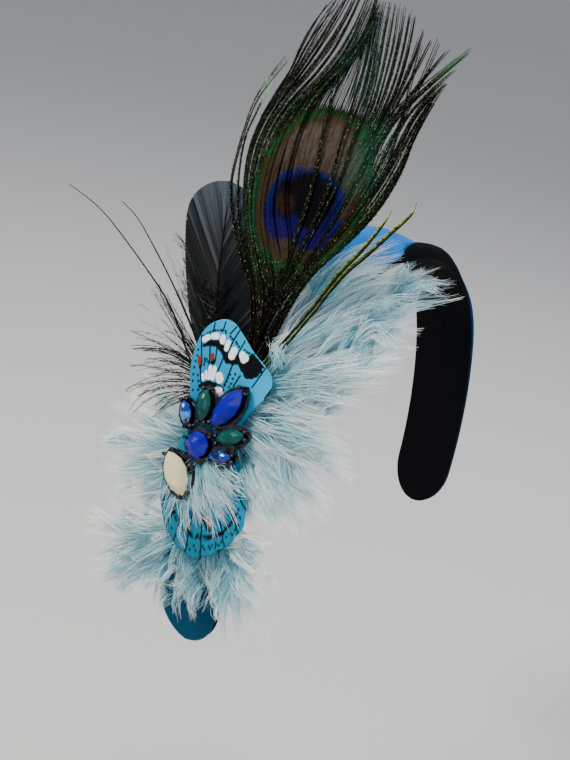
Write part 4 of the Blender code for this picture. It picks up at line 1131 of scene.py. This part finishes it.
def make_butterfly(material):
    columns = 300
    wing_rows = 108
    tail_rows = 50
    across_share = np.linspace(0.0, 1.0, columns)
    body = np.stack([np.linspace(-8.0, 9.0, columns), np.full(columns, BODY_UP)], 1)
    wing_rim = smooth_route(WING_RIM, columns)
    tail_rim = smooth_route(TAIL_RIM, columns)
    scallop = 0.985 + 0.02 * np.abs(np.sin(across_share * 9.0 * math.pi))
    tail_rim = body + (tail_rim - body) * scallop[:, None]
    tail = blend(body[None], tail_rim[None], np.linspace(1.0, 0.0, tail_rows)[:, None, None])
    wing = blend(body[None], wing_rim[None], np.linspace(0.0, 1.0, wing_rows)[1:, None, None])
    sheet = np.concatenate([tail, wing])
    u = sheet[..., 0]
    v = sheet[..., 1]
    colour = np.where((v > BODY_UP)[..., None], paint_wing(u, v), paint_tail(u, v))
    height = WING_LAYER + WING_CUP * np.maximum(v, 0.0) ** 2 + 0.3
    ripple = 0.12 * np.sin(np.arctan2(u + 7.0, v + 30.0) * 40.0)
    top = rising(u, v, height + ripple)
    wings = mesh_object("butterfly_silk", top.reshape(-1, 3), grid_quads(*u.shape), NO_TRIANGLES, material,
                        {"colour": colour.reshape(-1, 3)})
    shell = wings.modifiers.new("silk", "SOLIDIFY")
    shell.thickness = 0.25 * MM
    shell.offset = 0.0
    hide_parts("butterfly")


# The band

def quarter_round(share):
    """Height of a rounded edge, from nothing at its rim to one where it is full."""
    return np.sqrt(np.clip(1.0 - (1.0 - np.clip(share, 0.0, 1.0)) ** 2, 0.0, 1.0))


def half_width(along):
    """Half the band's width, which closes in a round end."""
    reach = np.abs(along)
    width = blend(CROWN_WIDTH, END_WIDTH, reach / ARM_LENGTH) / 2.0
    return width * np.maximum(quarter_round((ARM_LENGTH - reach) / END_ROUNDING), 0.03)


def cover_front(along):
    """The ribbon's front edge: short of the lining over the crown and beyond, full on the trimmed arm."""
    near = ramp(along, COVER_WIDENS_FROM, COVER_WIDENS_OVER)
    far = smooth_step(-along / COVER_FULL_FROM)
    return blend(COVER_FRONT_AT_CROWN, half_width(along), np.maximum(near, far))


def arm_stations():
    straight = ARM_LENGTH - END_ROUNDING
    turn = np.radians(np.linspace(0.0, 90.0, 14))[1:]
    arm = np.concatenate([np.linspace(0.0, straight, 90), straight + END_ROUNDING * np.sin(turn)])
    return np.concatenate([arm[::-1], -arm[1:]])


def band_sheet(name, node, height, thickness, front_edge, roundness, crowning, material):
    """A smooth strip with softened edges over the band's inner face; crowning raises its outer face."""
    columns = 33
    along = arm_stations()[:, None]
    share = np.linspace(0.0, 1.0, columns)[None]
    back = -half_width(along)
    front = front_edge(along)
    across = blend(back, front, share)
    along = np.broadcast_to(along, across.shape)
    edge = np.minimum(across - back, front - across)
    dip = roundness * (1.0 - quarter_round(edge / EDGE_ROUNDING))
    inner = over_band(across, along, height)
    outer = over_band(across, along, height + thickness - dip + crowning(across, along, share))
    rows = len(along)
    points = np.concatenate([inner.reshape(-1, 3), outer.reshape(-1, 3)])
    total = rows * columns
    upper = grid_quads(rows, columns)
    lower = upper[:, (0, 3, 2, 1)]
    upper = upper + total
    ring = np.concatenate([np.arange(columns), np.arange(1, rows) * columns + columns - 1,
                           (rows - 1) * columns + np.arange(columns - 1)[::-1],
                           np.arange(1, rows - 1)[::-1] * columns])
    after = np.roll(ring, -1)
    wall = np.stack([ring, after, after + total, ring + total], -1)
    # Painted shade: a share that rises towards the arm's ends, where the satin takes its deeper colour
    painted_shade_toward_end = ramp(np.abs(along), 40.0, 100.0).ravel()
    strip = mesh_object(name, points, np.concatenate([lower, upper, wall]), NO_TRIANGLES, material,
                        {"painted_shade_toward_end": np.concatenate([painted_shade_toward_end, painted_shade_toward_end])})
    strip.data.set_sharp_from_angle(angle=math.radians(50.0))
    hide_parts(node)


def ribbon_bow(across, along, share):
    """The ribbon stands in a low bow over the crown's trimmed side, with soft puckers along it."""
    arch = np.sin(math.pi * share)
    reach = ramp(along, COVER_BOW_FROM, 20.0) * ramp(along, COVER_BOW_TO, -40.0)
    pucker = 0.05 * np.sin(across * 1.1 + 0.7 * np.sin(along * 0.21)) * arch
    return COVER_BOW * (arch ** 0.8 * reach + pucker * reach)


def flock_roll(across, along, share):
    """Where the ribbon stops short, the flocked edge is rolled up beside it."""
    start = cover_front(along)
    gap = half_width(along) - start
    place = np.clip((across - start) / np.maximum(gap, 0.5), 0.0, 1.0)
    bare = ramp(gap, 1.0, 4.0)
    return ROLL_HEIGHT * np.sin(math.pi * place ** 0.8) ** 0.7 * bare * (place > 0.0)


def make_band():
    band_sheet("base_band_flocked", "base_band", 0.0, BASE_THICKNESS, half_width, 0.8, flock_roll,
               lining_material())
    band_sheet("satin_cover_ribbon", "satin_cover", COVER_HEIGHT, COVER_THICKNESS, cover_front, 0.9,
               ribbon_bow, satin_material())


def dress_brooch():
    """Finishes of the setting and its stones."""
    cobalt = resin_material("cobalt_acrylic", ((0.3, "#0c0088"), (0.7, "#1000a6")), 0.22)
    green = resin_material("emerald_acrylic", ((0.3, "#003e3a"), (0.7, "#00544e")), 0.22)
    cream = resin_material("milky_acrylic", ((0.3, "#d2c698"), (0.7, "#e2d8b2")), 0.32)
    sapphire = sapphire_material()
    finishes = {
        "cobalt_navette": cobalt, "cobalt_point": cobalt, "cream_navette": cream,
        "green_navette_upper": green, "green_navette_front": green,
        "sapphire_navette_back": sapphire, "sapphire_navette_low": sapphire,
        "brooch_setting": gunmetal_material()}
    for node, finish in finishes.items():
        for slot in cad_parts[node].material_slots:
            slot.material = finish


# The plain stage, in metres
FLOOR_SIZE = 60.0
FLOOR_LEVEL = -0.26
SKY_STRENGTH = 0.58
# Soft lamps: name, place, target, size, power, colour
LAMPS = (
    ("key", (0.5, -0.35, 0.75), (0.04, 0.0, 0.0), 0.4, 12.5, "#fff6ea"),
    ("fill", (0.6, 0.7, 0.35), (0.04, 0.0, -0.03), 0.8, 4.0, "#eaf2ff"),
    ("rim", (-0.5, 0.1, 0.6), (0.0, 0.0, 0.0), 0.5, 4.5, "#ffffff"))


def area_light(name, place, target, size, power, colour):
    data = bpy.data.lights.new(name, "AREA")
    data.shape = "DISK"
    data.size = size
    data.energy = power
    data.color = linear(colour)[:3]
    obj = bpy.data.objects.new(name, data)
    obj.location = place
    obj.rotation_euler = (Vector(target) - Vector(place)).to_track_quat("-Z", "Y").to_euler()
    bpy.context.scene.collection.objects.link(obj)


def set_stage():
    bpy.ops.mesh.primitive_plane_add(size=FLOOR_SIZE, location=(0.0, 0.0, FLOOR_LEVEL))
    floor = bpy.context.object
    floor.name = "studio_floor"
    paper = new_material("matt_paper_floor", Roughness=0.9, Base_Color=linear("#cacacc"))[0]
    floor.data.materials.append(paper)
    world = bpy.data.worlds.new("soft_sky")
    world.use_nodes = True
    background = world.node_tree.nodes["Background"]
    background.inputs["Color"].default_value = linear("#dfe3e8")
    background.inputs["Strength"].default_value = SKY_STRENGTH
    bpy.context.scene.world = world
    for lamp in LAMPS:
        area_light(*lamp)


# Camera: its place in metres and its angles
CAMERA_PLACE = (0.376, 0.207, 0.122)
CAMERA_AZIMUTH = math.radians(122.0)
CAMERA_ELEVATION = math.radians(22.5)
CAMERA_ROLL = math.radians(10.0)
LENS = 59.2


def set_camera():
    back = Vector((math.sin(CAMERA_AZIMUTH) * math.cos(CAMERA_ELEVATION),
                   -math.cos(CAMERA_AZIMUTH) * math.cos(CAMERA_ELEVATION), math.sin(CAMERA_ELEVATION)))
    right = Vector((0.0, 0.0, 1.0)).cross(back).normalized()
    up = back.cross(right)
    rolled = right * math.cos(CAMERA_ROLL) + up * math.sin(CAMERA_ROLL)
    upright = up * math.cos(CAMERA_ROLL) - right * math.sin(CAMERA_ROLL)
    data = bpy.data.cameras.new("camera")
    data.lens = LENS
    data.sensor_width = 36.0
    data.clip_start = 0.01
    camera = bpy.data.objects.new("camera", data)
    matrix = Matrix((rolled, upright, back)).transposed().to_4x4()
    matrix.translation = CAMERA_PLACE
    camera.matrix_world = matrix
    bpy.context.scene.collection.objects.link(camera)
    bpy.context.scene.camera = camera


set_camera()
set_stage()
make_band()
# Dyed marabou down: matt fluffy barbs, blue where they lie deep and almost white at their tips
down = dyed_barb_material(
    "dyed_marabou_down", ((0.0, "#5cacc2"), (1.0, "#fbfbf9"), (0.3, "#95d0dc"), (0.6, "#d2eaeb")),
    Roughness=0.8, Specular_IOR_Level=0.3)
for index, row in enumerate(MARABOU):
    make_marabou_plume(index, row, down)
# Black dyed down and stripped quill: matt keratin with a faint cold gloss
black_down = dyed_barb_material("black_dyed_down", ((0.0, "#020203"), (1.0, "#12151a")),
                                Roughness=0.6, Specular_IOR_Level=0.12)
make_black_fluff(black_down)
make_quills(black_down)
# Black dyed goose vane: hooked barbs lie flat; the lighter slate stops of its tone are a painted sheen
make_black_feather(dyed_barb_material(
    "black_goose_vane", ((0.0, "#020304"), (1.0, "#434d55"), (0.55, "#080b0f")),
    Roughness=0.42, Specular_IOR_Level=0.16))
barbs = barb_material()
make_peacock(barbs)
make_sword_barbs(barbs)
make_butterfly(silk_material())
dress_brooch()
